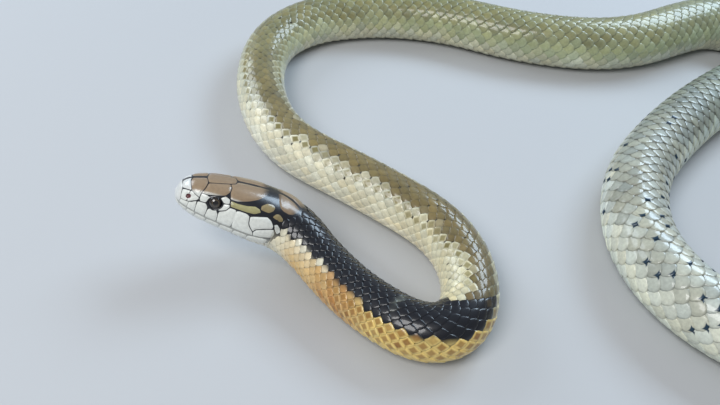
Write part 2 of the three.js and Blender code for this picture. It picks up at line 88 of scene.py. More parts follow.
# %% Section tables
HEAD_SECTIONS = {
    "at":     (0, 1.2, 4, 8, 13, 21, 31, 45, 59, 69, 81, 97, 122),
    "half":   (3.0, 7.6, 11.4, 14.4, 16.6, 18.9, 21.0, 23.6, 25.6, 26.0, 24.6, 22.2, 20.4),
    "crown":  (0.5, 4.5, 8.4, 11.2, 13.4, 16.0, 18.2, 20.6, 22.0, 22.4, 22.2, 21.4, 20.4),
    "waist":  (-3.0, -3.0, -2.8, -2.2, -1.6, -1.2, -1.0, -0.8, -0.6, -0.4, -0.2, 0, 0),
    "throat": (-6.5, -9.2, -12.2, -14.6, -16.4, -18.0, -19.2, -20.4, -21.8, -22.8, -23.6, -22.6, -20.4),
    "upper":  (2.0, 2.0, 2.2, 2.4, 2.6, 2.7, 2.6, 2.5, 2.35, 2.2, 2.1, 2.0, 2.0),
    "lower":  (2.0, 2.0, 2.0, 2.0, 2.1, 2.2, 2.2, 2.2, 2.2, 2.1, 2.0, 2.0, 2.0),
}
GIRTH_AT = (122, 276, 456, 626, 826, 1076, 1276, 1476, 1876, 2150,
            2450, 2700, 2780, 2840, 3000, 3250, 3450, 3510, 3532)
GIRTH = (20.4, 22.3, 23.5, 23.8, 26.5, 28.7, 30, 28.5, 28.2, 28,
         26, 22.5, 20.5, 18, 14.5, 8.6, 4, 2.3, 1.2)


def smooth_curve(at, values, x):
    """Curve through the given values that never overshoots them."""
    at, values = np.array(at, float), np.array(values, float)
    width = np.diff(at)
    slope = np.diff(values) / width
    before = np.concatenate([slope[:1], slope])
    after = np.concatenate([slope, slope[-1:]])
    same_way = before * after > 0
    tangent = np.where(same_way, 2 * before * after / np.where(same_way, before + after, 1), 0)
    i = np.clip(np.searchsorted(at, x, side="right") - 1, 0, len(at) - 2)
    t = np.clip((x - at[i]) / width[i], 0, 1)
    rise = t * t * (3 - 2 * t)
    leave = t * (1 - t) ** 2 * width[i] * tangent[i]
    arrive = t * t * (t - 1) * width[i] * tangent[i + 1]
    return values[i] + (values[i + 1] - values[i]) * rise + leave + arrive


# %% [markdown]
# ## Frames along the spine
# Walking down the body in half-millimetre steps gives the place of the axis at every distance from the
# snout, with the directions back, right and up. They are worked out once and looked up afterwards.

# %% Walk the spine
STEP = 0.5
along = np.arange(0, TOTAL_LENGTH + STEP, STEP)


def blended(x_known, y_known, at, window):
    """A line through known points, averaged over a window that opens behind the head."""
    open_window = np.clip(2 * (at - HEAD_LENGTH) / window, 0, 1) * window
    shifts = np.linspace(-0.5, 0.5, 9)
    return np.mean([np.interp(at + shift * open_window, x_known, y_known) for shift in shifts], 0)


bend_ends = np.cumsum([0] + [length for length, turn in BENDS])
headings = SNOUT_HEADING + np.cumsum([0] + [turn for length, turn in BENDS])
PITCHES = ((0, HEAD_LENGTH, NECK_PITCH_AT, NECK_LANDS_AT, TOTAL_LENGTH),
           (HEAD_PITCH, HEAD_PITCH, NECK_PITCH, 0, 0))
heading = np.radians(blended(bend_ends, headings, along, BEND_BLEND))
pitch = np.radians(blended(*PITCHES, along, PITCH_BLEND))


def walked(rate):
    """Sum of a rate along the spine."""
    middle = (rate[1:] + rate[:-1]) / 2
    return np.concatenate([[0], np.cumsum(middle) * STEP])


axis_x = SNOUT[0] + walked(np.cos(heading) * np.cos(pitch))
axis_y = SNOUT[1] + walked(np.sin(heading) * np.cos(pitch))
fallen = walked(np.sin(pitch))
back = np.stack([np.cos(pitch) * np.cos(heading), np.cos(pitch) * np.sin(heading), -np.sin(pitch)], -1)
level_right = np.stack([-np.sin(heading), np.cos(heading), 0 * heading], -1)
level_up = np.cross(back, level_right)
settle = np.clip((along - HEAD_LENGTH) / (ROLL_ENDS_AT - HEAD_LENGTH), 0, 1)
roll = np.radians(HEAD_ROLL) * (1 - settle * settle * (3 - 2 * settle))
cos_roll, sin_roll = np.cos(roll)[:, None], np.sin(roll)[:, None]
right = level_right * cos_roll - level_up * sin_roll
up = level_up * cos_roll + level_right * sin_roll
turning = np.gradient(heading, along)

# %% Sections along the spine
HEAD_ENDS_AT = HEAD_SECTIONS["at"][-1]
radius = smooth_curve(GIRTH_AT, GIRTH, along)
on_head = along < HEAD_ENDS_AT
neck_radius = GIRTH[0]
round_body = {"half": radius, "crown": radius, "waist": 0, "throat": -radius, "upper": 2, "lower": 2}
section = {}
for key, plain in round_body.items():
    section[key] = np.where(on_head, smooth_curve(HEAD_SECTIONS["at"], HEAD_SECTIONS[key], along), plain)
toward_neck = np.clip((along - HEAD_LENGTH) / (HEAD_ENDS_AT - HEAD_LENGTH), 0, 1)
head_floor = section["throat"] + (-BELLY_SINK * neck_radius - section["throat"]) * toward_neck
section["floor"] = np.where(on_head, head_floor, -BELLY_SINK * radius)
head_axis = HEAD_AXIS_HEIGHT + (BELLY_SINK * neck_radius - HEAD_AXIS_HEIGHT) * toward_neck
axis_z = fallen[-1] - fallen + np.where(on_head, head_axis, BELLY_SINK * radius)
centre = np.stack([axis_x, axis_y, axis_z], -1)


def at_distance(table, s):
    """Look a value up along the spine."""
    if table.ndim == 1:
        return np.interp(s, along, table)
    return np.stack([np.interp(s, along, column) for column in table.T], -1)


# %% [markdown]
# ## The surface
# One function turns a distance from the snout, an angle round from the belly and a height over the surface
# into a place in space. The skin, the scales and the belly plates all go through it, so they fit each other
# on the tightest bend. A positive angle is the animal's left side, the one that faces the camera at the head.


# %% Section outline and surface point
ANGLE_STEP = 1.5


def outline(s, theta):
    """Place on a section of the body, to the right of the spine and above it, in millimetres."""
    angle = np.radians(theta)
    side, rise = np.sin(angle), -np.cos(angle)
    part = {key: at_distance(table, s) for key, table in section.items()}
    power = 2 / np.where(rise > 0, part["upper"], part["lower"])
    reach = np.where(rise > 0, part["crown"] - part["waist"], part["waist"] - part["throat"])
    y = -np.sign(side) * part["half"] * np.abs(side) ** power
    z = part["waist"] + np.sign(rise) * reach * np.abs(rise) ** power
    return y, np.maximum(z, part["floor"])


def surface(s, theta, lift=0.0):
    """Places on the animal, in metres; s and lift are in millimetres, theta in degrees."""
    s, theta, lift = np.broadcast_arrays(np.asarray(s, float), theta, lift)
    y, z = outline(s, theta)
    y_before, z_before = outline(s, theta - ANGLE_STEP)
    y_after, z_after = outline(s, theta + ANGLE_STEP)
    run, climb = y_after - y_before, z_after - z_before
    size = np.hypot(run, climb) + 1e-9
    y, z = y - lift * climb / size, z + lift * run / size
    place = at_distance(centre, s) + at_distance(right, s) * y[..., None] + at_distance(up, s) * z[..., None]
    return place * MM


def stretch(s, theta):
    """How much longer a line along the flank is than the spine beside it, because of a bend."""
    return 1 - at_distance(turning, s) * outline(s, theta)[0]


def point(s, theta, lift=0.0):
    return surface([s], [theta], [lift])[0]


def middle_at(s):
    """Middle of the body between belly and back."""
    return surface([s, s], [0, 180]).mean(0)


def side_of(theta):
    """Angle round from the belly, alike on both sides."""
    return np.abs((np.asarray(theta, float) + 180) % 360 - 180)


def left_of(theta):
    return (np.asarray(theta, float) % 360) < 180


print("top of the back at 500 mm:", point(500, 180).round(4))

# %% [markdown]
# ## Colours
# The colours are mixed here as ordinary display values and turned into the linear values that the
# shaders want. The animal is pale grey on the muzzle, brown on the crown, glossy black on the neck over a
# throat of cream, amber and yellow, olive over cream on the front of the body and greyer further back.


# %% Named colours
def tone(r, g, b):
    """A display colour from 0 to 255 as linear light."""
    c = np.array([r, g, b]) / 255
    return np.where(c <= 0.04045, c / 12.92, ((c + 0.055) / 1.055) ** 2.4)


def tones(*shades):
    return tuple(tone(*shade) for shade in shades)


BLACK = tone(9, 13, 22)
CROWN = tone(146, 124, 98)
CROWN_PALE = tone(176, 160, 138)
MUZZLE = tone(214, 216, 212)
NOSTRIL_RED = tone(96, 44, 46)
LIP = tone(226, 229, 222)
TEMPLE = tone(164, 158, 112)
SPOT = tone(146, 130, 92)
THROAT = tone(232, 226, 200)
AMBER = tone(218, 182, 116)
RUST = tone(178, 112, 40)
YELLOW = tone(232, 204, 124)
BROWN = tone(146, 104, 46)
OLIVE_HEART = tone(120, 110, 58)
CREAM = tone(226, 214, 172)
SEAM_PALE = LIP * 0.5


def blend(a, b, t):
    """Colour a where t is 0 and colour b where it is 1."""
    t = np.clip(np.asarray(t, float), 0, 1)[..., None]
    return a * (1 - t) + b * t


def ramp(x, low, high):
    """0 below low, 1 above high, smooth between."""
    t = np.clip((x - low) / (high - low), 0, 1)
    return t * t * (3 - 2 * t)


def along_colours(at, colours, s):
    """Colours that change along the body."""
    table = np.array(colours)
    return np.stack([np.interp(s, at, table[:, k]) for k in range(3)], -1)


print("black in linear light:", BLACK.round(4))

# %% [markdown]
# ## The shields of the head
# A king cobra's head wears large shields in a fixed plan, with a pair of big ones behind the crown that only
# this snake has. Each shield is an outline of a few corners, given on the surface as distance from the snout
# and angle round from the throat, for the left side; the right side is its mirror image. Inside an outline
# the skin is raised and takes the shield's colour, and between outlines it sinks and turns black.

# %% Mouth line
MOUTH_AT = (-2, 4, 14, 27, 42, 56, 66, 73)
MOUTH_HEIGHT = (-7.2, -7.4, -8.6, -9.6, -9.8, -9.4, -9.6, -9.8)
MOUTH_ENDS_AT = 80
CORNER_RISE = 8
CORNER_RISES_AT = 66


def mouth_angle(s):
    """Angle of the mouth line at a distance from the snout."""
    s = np.atleast_1d(np.asarray(s, float))
    height = np.interp(s, MOUTH_AT, MOUTH_HEIGHT)
    angles = np.arange(20, 110, 0.5)
    z = outline(s[:, None], angles[None, :])[1]
    return np.array([np.interp(h, row, angles) for h, row in zip(height, z)])


mouth_s = np.arange(0, MOUTH_ENDS_AT + 1, 1.0)
mouth_theta = mouth_angle(np.maximum(mouth_s, 0.5))
mouth_theta = mouth_theta + CORNER_RISE * ramp(mouth_s, CORNER_RISES_AT, MOUTH_ENDS_AT)
print("mouth corner:", round(float(mouth_theta[-1]), 1), "degrees round")


def lip(s, above):
    """A corner so many degrees above the mouth line."""
    return (s, float(np.interp(s, mouth_s, mouth_theta)) + above)


# %% Corners of the shields: (name, colour, black border in mm, corners)
UPPER_LIP = 1.2
LOWER_LIP = -2.0
CHIN_LIPS = ((11, (11.5, 34)), (18, (18, 33)), (27, (27, 31)), (38, (38, 34)), (49, (49, 40)), (60, (60, 46)),
             (76, (76, 52)))
SIDE_SHIELDS = [
    ("internasal", MUZZLE, 0.3,
     [(2.0, 179), (8, 179.3), (7.4, 162), (8.2, 143), (10, 121), (6.5, 123), (3.4, 126), (2.4, 150)]),
    ("front_nasal", LIP, 0.22, [(3.4, 126), (6.5, 123), (9, 120.5), (9, 86.5), (4.4, 85.5), (3.6, 105)]),
    ("rear_nasal", LIP, 0.24, [(9, 120.5), (10, 121), (13, 111), (17, 103), (16, 96), (12.5, 91), (9, 86.5)]),
    ("prefrontal", CROWN, 0.38,
     [(8, 179.3), (18.5, 179.3), (20, 158), (19, 139), (17, 119), (17, 103), (13, 111), (10, 121),
      (8.2, 143), (7.4, 162)]),
    ("preocular", LIP, 0.24,
     [(17, 103), (17, 119), (21.5, 117.5), (24, 113), (23, 105), (22.5, 97), (18, 96)]),
    ("supraocular", CROWN, 0.32,
     [(17, 119), (19, 139), (20, 158), (29, 163), (36, 167), (37.5, 155), (37, 140), (34.5, 128.5),
      (28, 122), (21.5, 117.5)]),
    ("parietal", CROWN, 0.36,
     [(41, 179.3), (40, 171), (36, 167), (37.5, 155), (37, 140), (38.5, 123), (44, 123), (52, 131),
      (59, 142), (64, 155), (66.5, 168), (67, 179.3)]),
    ("upper_postocular", CROWN_PALE, 0.3, [(31, 119.5), (34.5, 128.5), (38.5, 123), (39.2, 112), (35, 109)]),
    ("lower_postocular", LIP, 0.26, [(35, 109), (39.2, 112), (40, 106), (38, 97), (33.5, 92), (31, 93.5)]),
    ("front_temporal", TEMPLE, 0.8,
     [(38.5, 123), (44, 121), (51, 123), (57.5, 128), (62, 125), (64, 117), (59, 109), (53, 107),
      (45, 106), (40, 106), (39.2, 112)]),
    ("lip_1", LIP, 0.22, [(4.4, 85.5), (9, 86.5), (10.5, 89), lip(10.5, UPPER_LIP), lip(4.2, UPPER_LIP)]),
    ("lip_2", LIP, 0.22, [(10.5, 89), (12.5, 91), (16, 96), lip(17, UPPER_LIP), lip(10.5, UPPER_LIP)]),
    ("lip_3", LIP, 0.24, [(16, 96), (22.5, 97), (25, 91), lip(25, UPPER_LIP), lip(17, UPPER_LIP)]),
    ("lip_4", LIP, 0.24, [(25, 91), (31, 93.5), (33.5, 88), lip(34.5, UPPER_LIP), lip(25, UPPER_LIP)]),
    ("lip_5", LIP, 0.26,
     [(33.5, 88), (33.5, 92), (38, 97), (40, 106), (45, 106), (46, 100), lip(46, UPPER_LIP),
      lip(34.5, UPPER_LIP)]),
    ("lip_6", LIP, 0.3,
     [(45, 106), (53, 107), (56, 104), (57, 92), (60, 85), (62.5, 79), lip(64, UPPER_LIP),
      lip(46, UPPER_LIP)]),
    ("lip_7", LIP, 0.3,
     [(62.5, 79), (64, 86), (70, 91), (76, 94.5), (83, 95), (87, 92), (84, 82), lip(76, 1.5 * UPPER_LIP),
      lip(64, UPPER_LIP)]),
    ("rear_temporal", LIP, 0.42,
     [(57, 92), (56, 104), (59, 107), (64, 111), (69, 115), (73, 110), (76, 101), (76, 94.5), (70, 91),
      (64, 86), (62.5, 79), (60, 85)]),
    ("nape_spot_1", SPOT, 0.55,
     [(62, 122), (61.5, 132), (66, 142), (71, 143), (73.5, 137), (72.5, 128), (69, 121)]),
    ("nape_spot_2", SPOT, 0.5,
     [(72, 117), (74.5, 126), (80, 129), (87, 130), (88.5, 124), (83, 116.5), (76, 113)]),
    # The cheek plate is painted pale like the lips; this pale is partly the plate's own colour and partly a
    # painted highlight.
    ("cheek", LIP, 0.45, [(77, 97), (75.5, 104), (82, 111), (90, 113), (93.5, 106), (91, 97), (84, 97)]),
    ("occipital", CROWN, 0.5,
     [(73, 178), (74, 160), (75, 147), (77, 138), (83, 139), (89, 144), (93, 152), (94.5, 165), (94, 178)]),
    ("chin_lip_1", LIP, 0.22, [(3.8, 56), lip(11, LOWER_LIP), (11.5, 34), (13, 1), (9.5, 1), (7, 28)]),
    *((f"chin_lip_{number}", LIP, 0.22, [lip(start, LOWER_LIP), lip(end, LOWER_LIP), low_end, low_start])
      for number, ((start, low_start), (end, low_end)) in enumerate(zip(CHIN_LIPS, CHIN_LIPS[1:]), 2)),
    ("front_chin", LIP, 0.22, [(13, 1), (11.5, 34), (18, 33), (27, 30), (25, 1)]),
    ("rear_chin", LIP, 0.22, [(25, 1), (27, 30), (36, 32), (43, 16), (41, 1)]),
]
MIDDLE_SHIELDS = [
    ("rostral", MUZZLE, 0.24, 180,
     [(2.0, 179), (2.4, 150), (3.4, 126), (3.6, 105), (4.4, 85.5), lip(4.2, UPPER_LIP), lip(-2, UPPER_LIP)]),
    ("frontal", CROWN, 0.32, 180, [(18.5, 179), (20, 158), (29, 163), (36, 167), (40, 171), (41, 179)]),
    ("mental", LIP, 0.22, 0, [(9.5, 1), (7, 28), (3.8, 56), (-2, 52)]),
]
print("shields on the head:", 2 * len(SIDE_SHIELDS) + len(MIDDLE_SHIELDS))

# %% [markdown]
# ## How far inside a shield
# The relief and the seams both need one number: how far a place lies inside its shield, in millimetres. Each
# outline is rounded by cutting its corners twice, laid flat, and measured against every nearby place.

# %% Distance inside a shield
EYE_AT = 29
EYE_ANGLE = 105
EYE_RADIUS = 5.4
EYE_DEPTH = 3.7
LID_RADIUS = 5.0
EYE_SLIT = 1.2
NOSTRIL_AT = 9
NOSTRIL_ANGLE = 101
NOSTRIL_RADIUS = 2.1
MOUTH_GROOVE = 0.25
CORNER_CUTS = (0.12, 0.25)
REACH_ALONG, REACH_ROUND = 1, 6


def per_degree(s):
    """Millimetres of surface to one degree round the body."""
    girth = at_distance(section["half"] * 2 + section["crown"] - section["throat"], s) / 4
    return np.radians(1) * girth


def rounded(corners):
    """An outline with its corners cut twice."""
    loop = np.array(corners, float)
    for cut in CORNER_CUTS:
        following = np.roll(loop, -1, 0)
        first, second = loop * (1 - cut) + following * cut, loop * cut + following * (1 - cut)
        loop = np.stack([first, second], 1).reshape(-1, 2)
    return loop


def depth_inside(corners, s, theta):
    """Distance from the outline, in mm: above zero inside it, below zero outside."""
    loop = rounded(corners)
    a = np.stack([loop[:, 0], loop[:, 1] * per_degree(loop[:, 0])], -1)
    b = np.roll(a, -1, 0)
    p = np.stack([s, theta * per_degree(s)], -1)[:, None]
    edge = b - a
    t = np.clip(((p - a) * edge).sum(-1) / ((edge ** 2).sum(-1) + 1e-12), 0, 1)
    gap = np.linalg.norm(p - a - t[..., None] * edge, axis=-1).min(1)
    above_a, above_b = a[:, 1] > p[..., 1], b[:, 1] > p[..., 1]
    crossing = a[:, 0] + (p[..., 1] - a[:, 1]) / np.where(above_a == above_b, 1, edge[:, 1]) * edge[:, 0]
    hits = ((above_a != above_b) & (p[..., 0] < crossing)).sum(1)
    return np.where(hits % 2 == 1, gap, -gap)


def mirrored(corners, middle):
    """Half an outline joined to its mirror image across an angle."""
    return corners + [(at, 2 * middle - angle) for at, angle in reversed(corners)]


SHIELDS = []
for _, colour, border, corners in SIDE_SHIELDS:
    SHIELDS.append((colour, border, corners))
    SHIELDS.append((colour, border, [(at, -angle) for at, angle in corners]))
for _, colour, border, middle, corners in MIDDLE_SHIELDS:
    SHIELDS.append((colour, border, mirrored(corners, middle)))


def shield_field(s, theta):
    """Depth inside the nearest shield, its colour, and how far off the eye, the nostril and the mouth are."""
    depth = np.full(len(s), -3.0)
    colour = np.tile(BLACK, (len(s), 1))
    for shade, border, corners in SHIELDS:
        middle = np.mean([angle for at, angle in corners])
        turned = (theta - middle + 180) % 360 - 180 + middle
        ats, angles = [at for at, angle in corners], [angle for at, angle in corners]
        near = (s > min(ats) - REACH_ALONG) & (s < max(ats) + REACH_ALONG)
        near &= (turned > min(angles) - REACH_ROUND) & (turned < max(angles) + REACH_ROUND)
        if not near.any():
            continue
        inside = depth_inside(corners, s[near], turned[near]) - border
        rows = np.flatnonzero(near)[inside > depth[near]]
        depth[rows] = inside[inside > depth[near]]
        colour[rows] = shade
    side = side_of(theta)
    to_eye = np.hypot((s - EYE_AT) / EYE_SLIT, (side - EYE_ANGLE) * per_degree(s))
    to_nostril = np.hypot(s - NOSTRIL_AT, (side - NOSTRIL_ANGLE) * per_degree(s))
    to_mouth = np.abs(side - np.interp(s, mouth_s, mouth_theta)) * per_degree(s)
    to_mouth = np.where(s > MOUTH_ENDS_AT, np.hypot(to_mouth, s - MOUTH_ENDS_AT), to_mouth)
    depth = np.minimum.reduce([depth, to_eye - LID_RADIUS, to_nostril - NOSTRIL_RADIUS,
                               to_mouth - MOUTH_GROOVE])
    return depth, colour, to_eye, to_nostril, to_mouth


# %% [markdown]
# ## One skin from snout to tail
# The skin starts as a flat ruled sheet, a column for every few degrees round and a row for every ring, which
# makes its unwrap plain to see. Each edge on the head's part is cut six times more, because the seams between
# shields are less than a millimetre wide. Then the sheet is wrapped round the spine and welded at the belly.

# %% Turning a plan into a piece
LAYER_FIELDS = {"FLOAT": "value", "FLOAT_VECTOR": "vector", "FLOAT_COLOR": "color"}


def finished(mesh_builder, name):
    """A new object at the origin, with its place in its mesh."""
    mesh = bpy.data.meshes.new(name)
    mesh_builder.to_mesh(mesh)
    mesh_builder.free()
    return placed(mesh, name)


def placed(mesh, name):
    piece = bpy.data.objects.new(name, mesh)
    bpy.context.scene.collection.objects.link(piece)
    return piece


def add_layer(piece, name, kind, values):
    """Keep a number, a vector or a colour for every corner of a piece."""
    if kind == "FLOAT_COLOR":
        values = np.column_stack([values, np.ones(len(values))])
    layer = piece.data.attributes.new(name, kind, "POINT")
    layer.data.foreach_set(LAYER_FIELDS[kind], np.asarray(values, np.float32).ravel())


# %% Flat sheet, ruled and divided
HEAD_ROWS = 32
SKIN_HEAD_END = 95
ROW_CROWDING = 1.2
BODY_ROW = 12.0
HEAD_CUTS = 6
CHIN_EDGE = 50
CHIN_COLUMNS, SIDE_COLUMNS = 6, 39
snout_rows = SKIN_HEAD_END * (np.arange(HEAD_ROWS + 1) / HEAD_ROWS) ** ROW_CROWDING
body_rows = np.linspace(SKIN_HEAD_END, TOTAL_LENGTH, int((TOTAL_LENGTH - SKIN_HEAD_END) / BODY_ROW) + 1)[1:]
SNOUT_CAP = (-1.0, -0.6)
skin_rows = np.concatenate([SNOUT_CAP, snout_rows, body_rows])
chin_columns = np.linspace(0, CHIN_EDGE, CHIN_COLUMNS)
side_columns = np.linspace(CHIN_EDGE, 360 - CHIN_EDGE, SIDE_COLUMNS)[1:-1]
skin_columns = np.concatenate([chin_columns, side_columns, 360 - chin_columns[::-1]])

sheet = bmesh.new()
bmesh.ops.create_grid(sheet, x_segments=len(skin_rows) - 1, y_segments=len(skin_columns) - 1, size=0.5)
for vert in sheet.verts:
    row = round((vert.co.x + 0.5) * (len(skin_rows) - 1))
    column = round((vert.co.y + 0.5) * (len(skin_columns) - 1))
    vert.co = (skin_rows[row], skin_columns[column], 0)
head_edges = [e for e in sheet.edges if max(v.co.x for v in e.verts) <= SKIN_HEAD_END + 0.01]
bmesh.ops.subdivide_edges(sheet, edges=head_edges, cuts=HEAD_CUTS, use_grid_fill=True)
print("faces in the sheet:", len(sheet.faces))

# %% [markdown]
# ## The unwrap
# The sheet is also the plan for baking colours later. A body twenty times longer than its girth would waste
# a square picture, so the head gets a tall band of its own and the rest is laid in five strips above it.

# %% Unwrap into bands
HEAD_BAND_END = 110
HEAD_BAND = 0.4
STRIPS = 5
STRIP_LENGTH = (TOTAL_LENGTH - HEAD_BAND_END) / STRIPS
STRIP_HEIGHT = (1 - HEAD_BAND) / STRIPS
MARGIN = 0.012


def unwrap(s, theta, reference):
    """Place on the bake plan; the reference distance says which strip a face belongs to."""
    round_part = np.asarray(theta) / 360
    strip = np.clip((np.asarray(reference) - HEAD_BAND_END) // STRIP_LENGTH, 0, STRIPS - 1)
    on_strip = np.asarray(reference) >= HEAD_BAND_END
    start = HEAD_BAND_END + strip * STRIP_LENGTH
    u = np.where(on_strip, (s - start) / STRIP_LENGTH, (s + 1) / (HEAD_BAND_END + 1))
    on_body = HEAD_BAND + strip * STRIP_HEIGHT + MARGIN + round_part * (STRIP_HEIGHT - 2 * MARGIN)
    v = np.where(on_strip, on_body, MARGIN + round_part * (HEAD_BAND - 2 * MARGIN))
    return np.clip(0.01 + 0.98 * u, 0, 1), v


bake_plan = sheet.loops.layers.uv.new("OFBake")
corners = [(loop.vert.co.x, loop.vert.co.y, min(v.co.x for v in face.verts))
           for face in sheet.faces for loop in face.loops]
bake_u, bake_v = unwrap(*np.array(corners).T)
for loop, u, v in zip((loop for face in sheet.faces for loop in face.loops), bake_u, bake_v):
    loop[bake_plan].uv = (u, v)
print("bake plan laid out in", STRIPS + 1, "bands")

# %% [markdown]
# ## Wrapping the skin
# Under the scales the skin lies a millimetre deeper than the solids. On the head it is the surface itself,
# and its relief is added here: shields stand proud of their seams, the brow overhangs the eye, the lips meet
# in a groove, and the eye and the nostril are hollows.

# %% Relief of the head and wrapping
COAT_DEPTH = 1.0
BELLY_DEPTH = 0.9
EYE_HOLLOW, LID_FOLD = 2.6, 0.4
NOSTRIL_HOLLOW, MOUTH_HOLLOW = 1.5, 0.6
COAT_START = ((0, 20, 28, 36, 46, 54, 62, 70, 84, 95, 105, 112, 126, 140, 150, 180),
              (43, 43, 41, 45, 62, 74, 82, 86, 92, 94, 95, 92, 92, 94, 97, 97))
SHIELD_RISE = 0.42
SEAM_SINK = 0.25
HEAD_FORMS = (
    (28, 124, 7, 6.5, 0.9),
    (29, 104, 6, 10, -0.7),
    (15, 104, 4.5, 9, -0.6),
    (56, 92, 13, 20, 0.7),
    (50, 180, 22, 7, -0.35),
)


def head_form(s, side):
    """Brow, socket, cheek and crown: (at, angle, length, width, rise) of each swelling or hollow."""
    total = 0 * s
    for at, angle, length, width, rise in HEAD_FORMS:
        total = total + rise * np.exp(-((s - at) / length) ** 2 - ((side - angle) / width) ** 2)
    return total


plan = np.array([v.co[:] for v in sheet.verts])
skin_s, skin_theta = plan[:, 0], plan[:, 1]
skin_side = side_of(skin_theta)
head_part = skin_s < SKIN_HEAD_END + 1
shield_depth = np.full(len(plan), -2.0)
skin_colour = np.tile(BLACK, (len(plan), 1))
lift = np.where(skin_side < 60, -BELLY_DEPTH, -COAT_DEPTH)
h_s, h_theta, h_side = skin_s[head_part], skin_theta[head_part], skin_side[head_part]
depth, colour, to_eye, to_nostril, to_mouth = shield_field(h_s, h_theta)
shield_depth[head_part], skin_colour[head_part] = depth, colour
nostril_gap = np.full(len(plan), 99.0)
nostril_gap[head_part] = to_nostril
rise = SHIELD_RISE * (1 - np.exp(-(np.maximum(depth, 0) / 1.0) ** 2)) - SEAM_SINK
rise = rise + head_form(h_s, h_side)
rise = rise - EYE_HOLLOW * (1 - ramp(to_eye, 3.5, 4.3)) + LID_FOLD * np.exp(-((to_eye - 4.5) / 0.6) ** 2)
rise = rise - NOSTRIL_HOLLOW * (1 - ramp(to_nostril, 0.8, 2.2))
mouth_fades = ramp(-h_s, -MOUTH_ENDS_AT, -MOUTH_ENDS_AT + 6)
rise = rise - MOUTH_HOLLOW * np.exp(-(to_mouth / 0.5) ** 2) * mouth_fades
rise = rise * ramp(h_s, 0.2, 3.0)
behind_shields = h_s - np.interp(h_side, *COAT_START)
nape = np.maximum(ramp(h_s, 84, 96), ramp(behind_shields, -1, 6) * (1 - ramp(h_side, 74, 86)))
lift[head_part] = rise * (1 - nape) - COAT_DEPTH * nape

# %% Wrap, close the snout and the tail, weld the belly
wrapped = surface(np.maximum(skin_s, 0), skin_theta, lift)
cap = np.sqrt(np.clip(1 - (np.minimum(skin_s, 0) / SNOUT_CAP[0]) ** 2, 0, 1))[:, None]
snout_axis = middle_at(0)
snout_forward = -back[0] * MM * 0.9
on_cap = snout_axis + (wrapped - snout_axis) * cap + snout_forward * (1 - cap)
wrapped = np.where((skin_s < 0)[:, None], on_cap, wrapped)
wrapped = np.where((skin_s > TOTAL_LENGTH - 0.01)[:, None], middle_at(TOTAL_LENGTH), wrapped)
for vert, place in zip(sheet.verts, wrapped):
    vert.co = place

number = sheet.verts.layers.int.new("number")
sheet.verts.index_update()
for vert in sheet.verts:
    vert[number] = vert.index
bmesh.ops.remove_doubles(sheet, verts=sheet.verts, dist=0.00002)
bmesh.ops.recalc_face_normals(sheet, faces=sheet.faces)
kept = np.array([v[number] for v in sheet.verts])
sheet.verts.layers.int.remove(number)
for face in sheet.faces:
    face.smooth = True
skin = finished(sheet, "skin")
print("skin:", len(skin.data.vertices), "places,", len(skin.data.polygons), "faces")

# %% [markdown]
# ## Markings
# Skin and scales must agree, so one function gives the colour of any place on the body. A glossy black
# mantle covers the back of the neck and ends after the first tight bend; under it the throat runs from
# cream through amber to yellow. Behind it the body is olive over cream, then greyer and paler.

# %% Colours of the body by place
BODY_AT = (200, 300, 430, 560, 700, 900, 1150, 1400, 1560, 1700, 1850, 2250, 2780, 3532)
BACK = tones((104, 90, 58), (114, 100, 64), (126, 112, 72), (128, 116, 78), (128, 124, 86), (132, 130, 88),
             (138, 138, 98), (124, 138, 120), (140, 147, 135), (168, 171, 157), (190, 194, 180),
             (142, 146, 124), (98, 98, 80), (56, 56, 48))
FLANK = tones((218, 206, 160), (224, 217, 182), (228, 222, 194), (224, 220, 196), (182, 182, 144),
              (160, 164, 120), (160, 168, 130), (156, 168, 148), (178, 187, 168), (202, 205, 190),
              (214, 218, 202), (186, 190, 168), (128, 128, 106), (70, 70, 60))
BELLY = tones((236, 222, 178), (238, 228, 192), (238, 232, 206), (234, 230, 208), (214, 211, 188),
              (204, 202, 174), (202, 202, 178), (204, 208, 190), (212, 218, 200), (220, 226, 208),
              (224, 230, 212), (206, 208, 190), (148, 146, 128), (94, 92, 80))
OLIVE_FROM = (262, 275, 290, 303, 317, 331, 347, 381, 411, 449, 479, 505, 540, 700, 3532)
OLIVE_RIGHT = (168, 160, 152, 147, 135, 125, 116, 116, 128, 124, 132, 138, 138, 116, 112)
OLIVE_LEFT = (96, 98, 100, 100, 101, 102, 102, 106, 110, 112, 114, 116, 118, 114, 112)
MANTLE_EDGE = ((60, 84, 95, 104, 109, 113, 118, 133, 200, 213, 225, 245, 263, 290),
               (126, 123, 120, 115, 118, 127, 138, 142, 139, 137, 128, 126, 124, 124))
FAR_SIDE_DROP = 30
THROAT_END_LEFT = ((80, 110, 180), (300, 268, 258))
THROAT_END_RIGHT = ((70, 180), (248, 256))
BEHIND_MANTLE = (262, 290)
FRONT_FADES = (640, 800)
RIM_DARKNESS = ((270, 330, 520, 700, 1200, 1480, 1640, 1740, 1900, 2300, 3532),
                (0.95, 0.6, 0.6, 0.6, 0.7, 1.0, 0.9, 0.5, 0.45, 0.6, 0.8))
# Pale stripe across the mantle: partly the cobra's crossband, partly a painted highlight standing for a
# white-blue glint.
CROSSBAND_AND_GLINT_AT = 208
CROSSBAND_AND_GLINT_COLOUR = tone(176, 184, 170)
MANTLE_END = ((100, 126, 141, 165, 180, 195, 260), (286, 284, 277, 271, 264, 259, 262))


def ripple(s, theta, length, around, start=0.0):
    """Soft blotches between -1 and 1, the same each time."""
    wander = 1.3 * np.sin(s / length / 1.7 + start)
    waves = np.sin(s / length + start) * np.cos(np.radians(theta * around) + wander)
    return 0.6 * waves + 0.4 * np.sin(s / length * 2.3 + np.radians(theta * (around + 1)) + 2 * start)


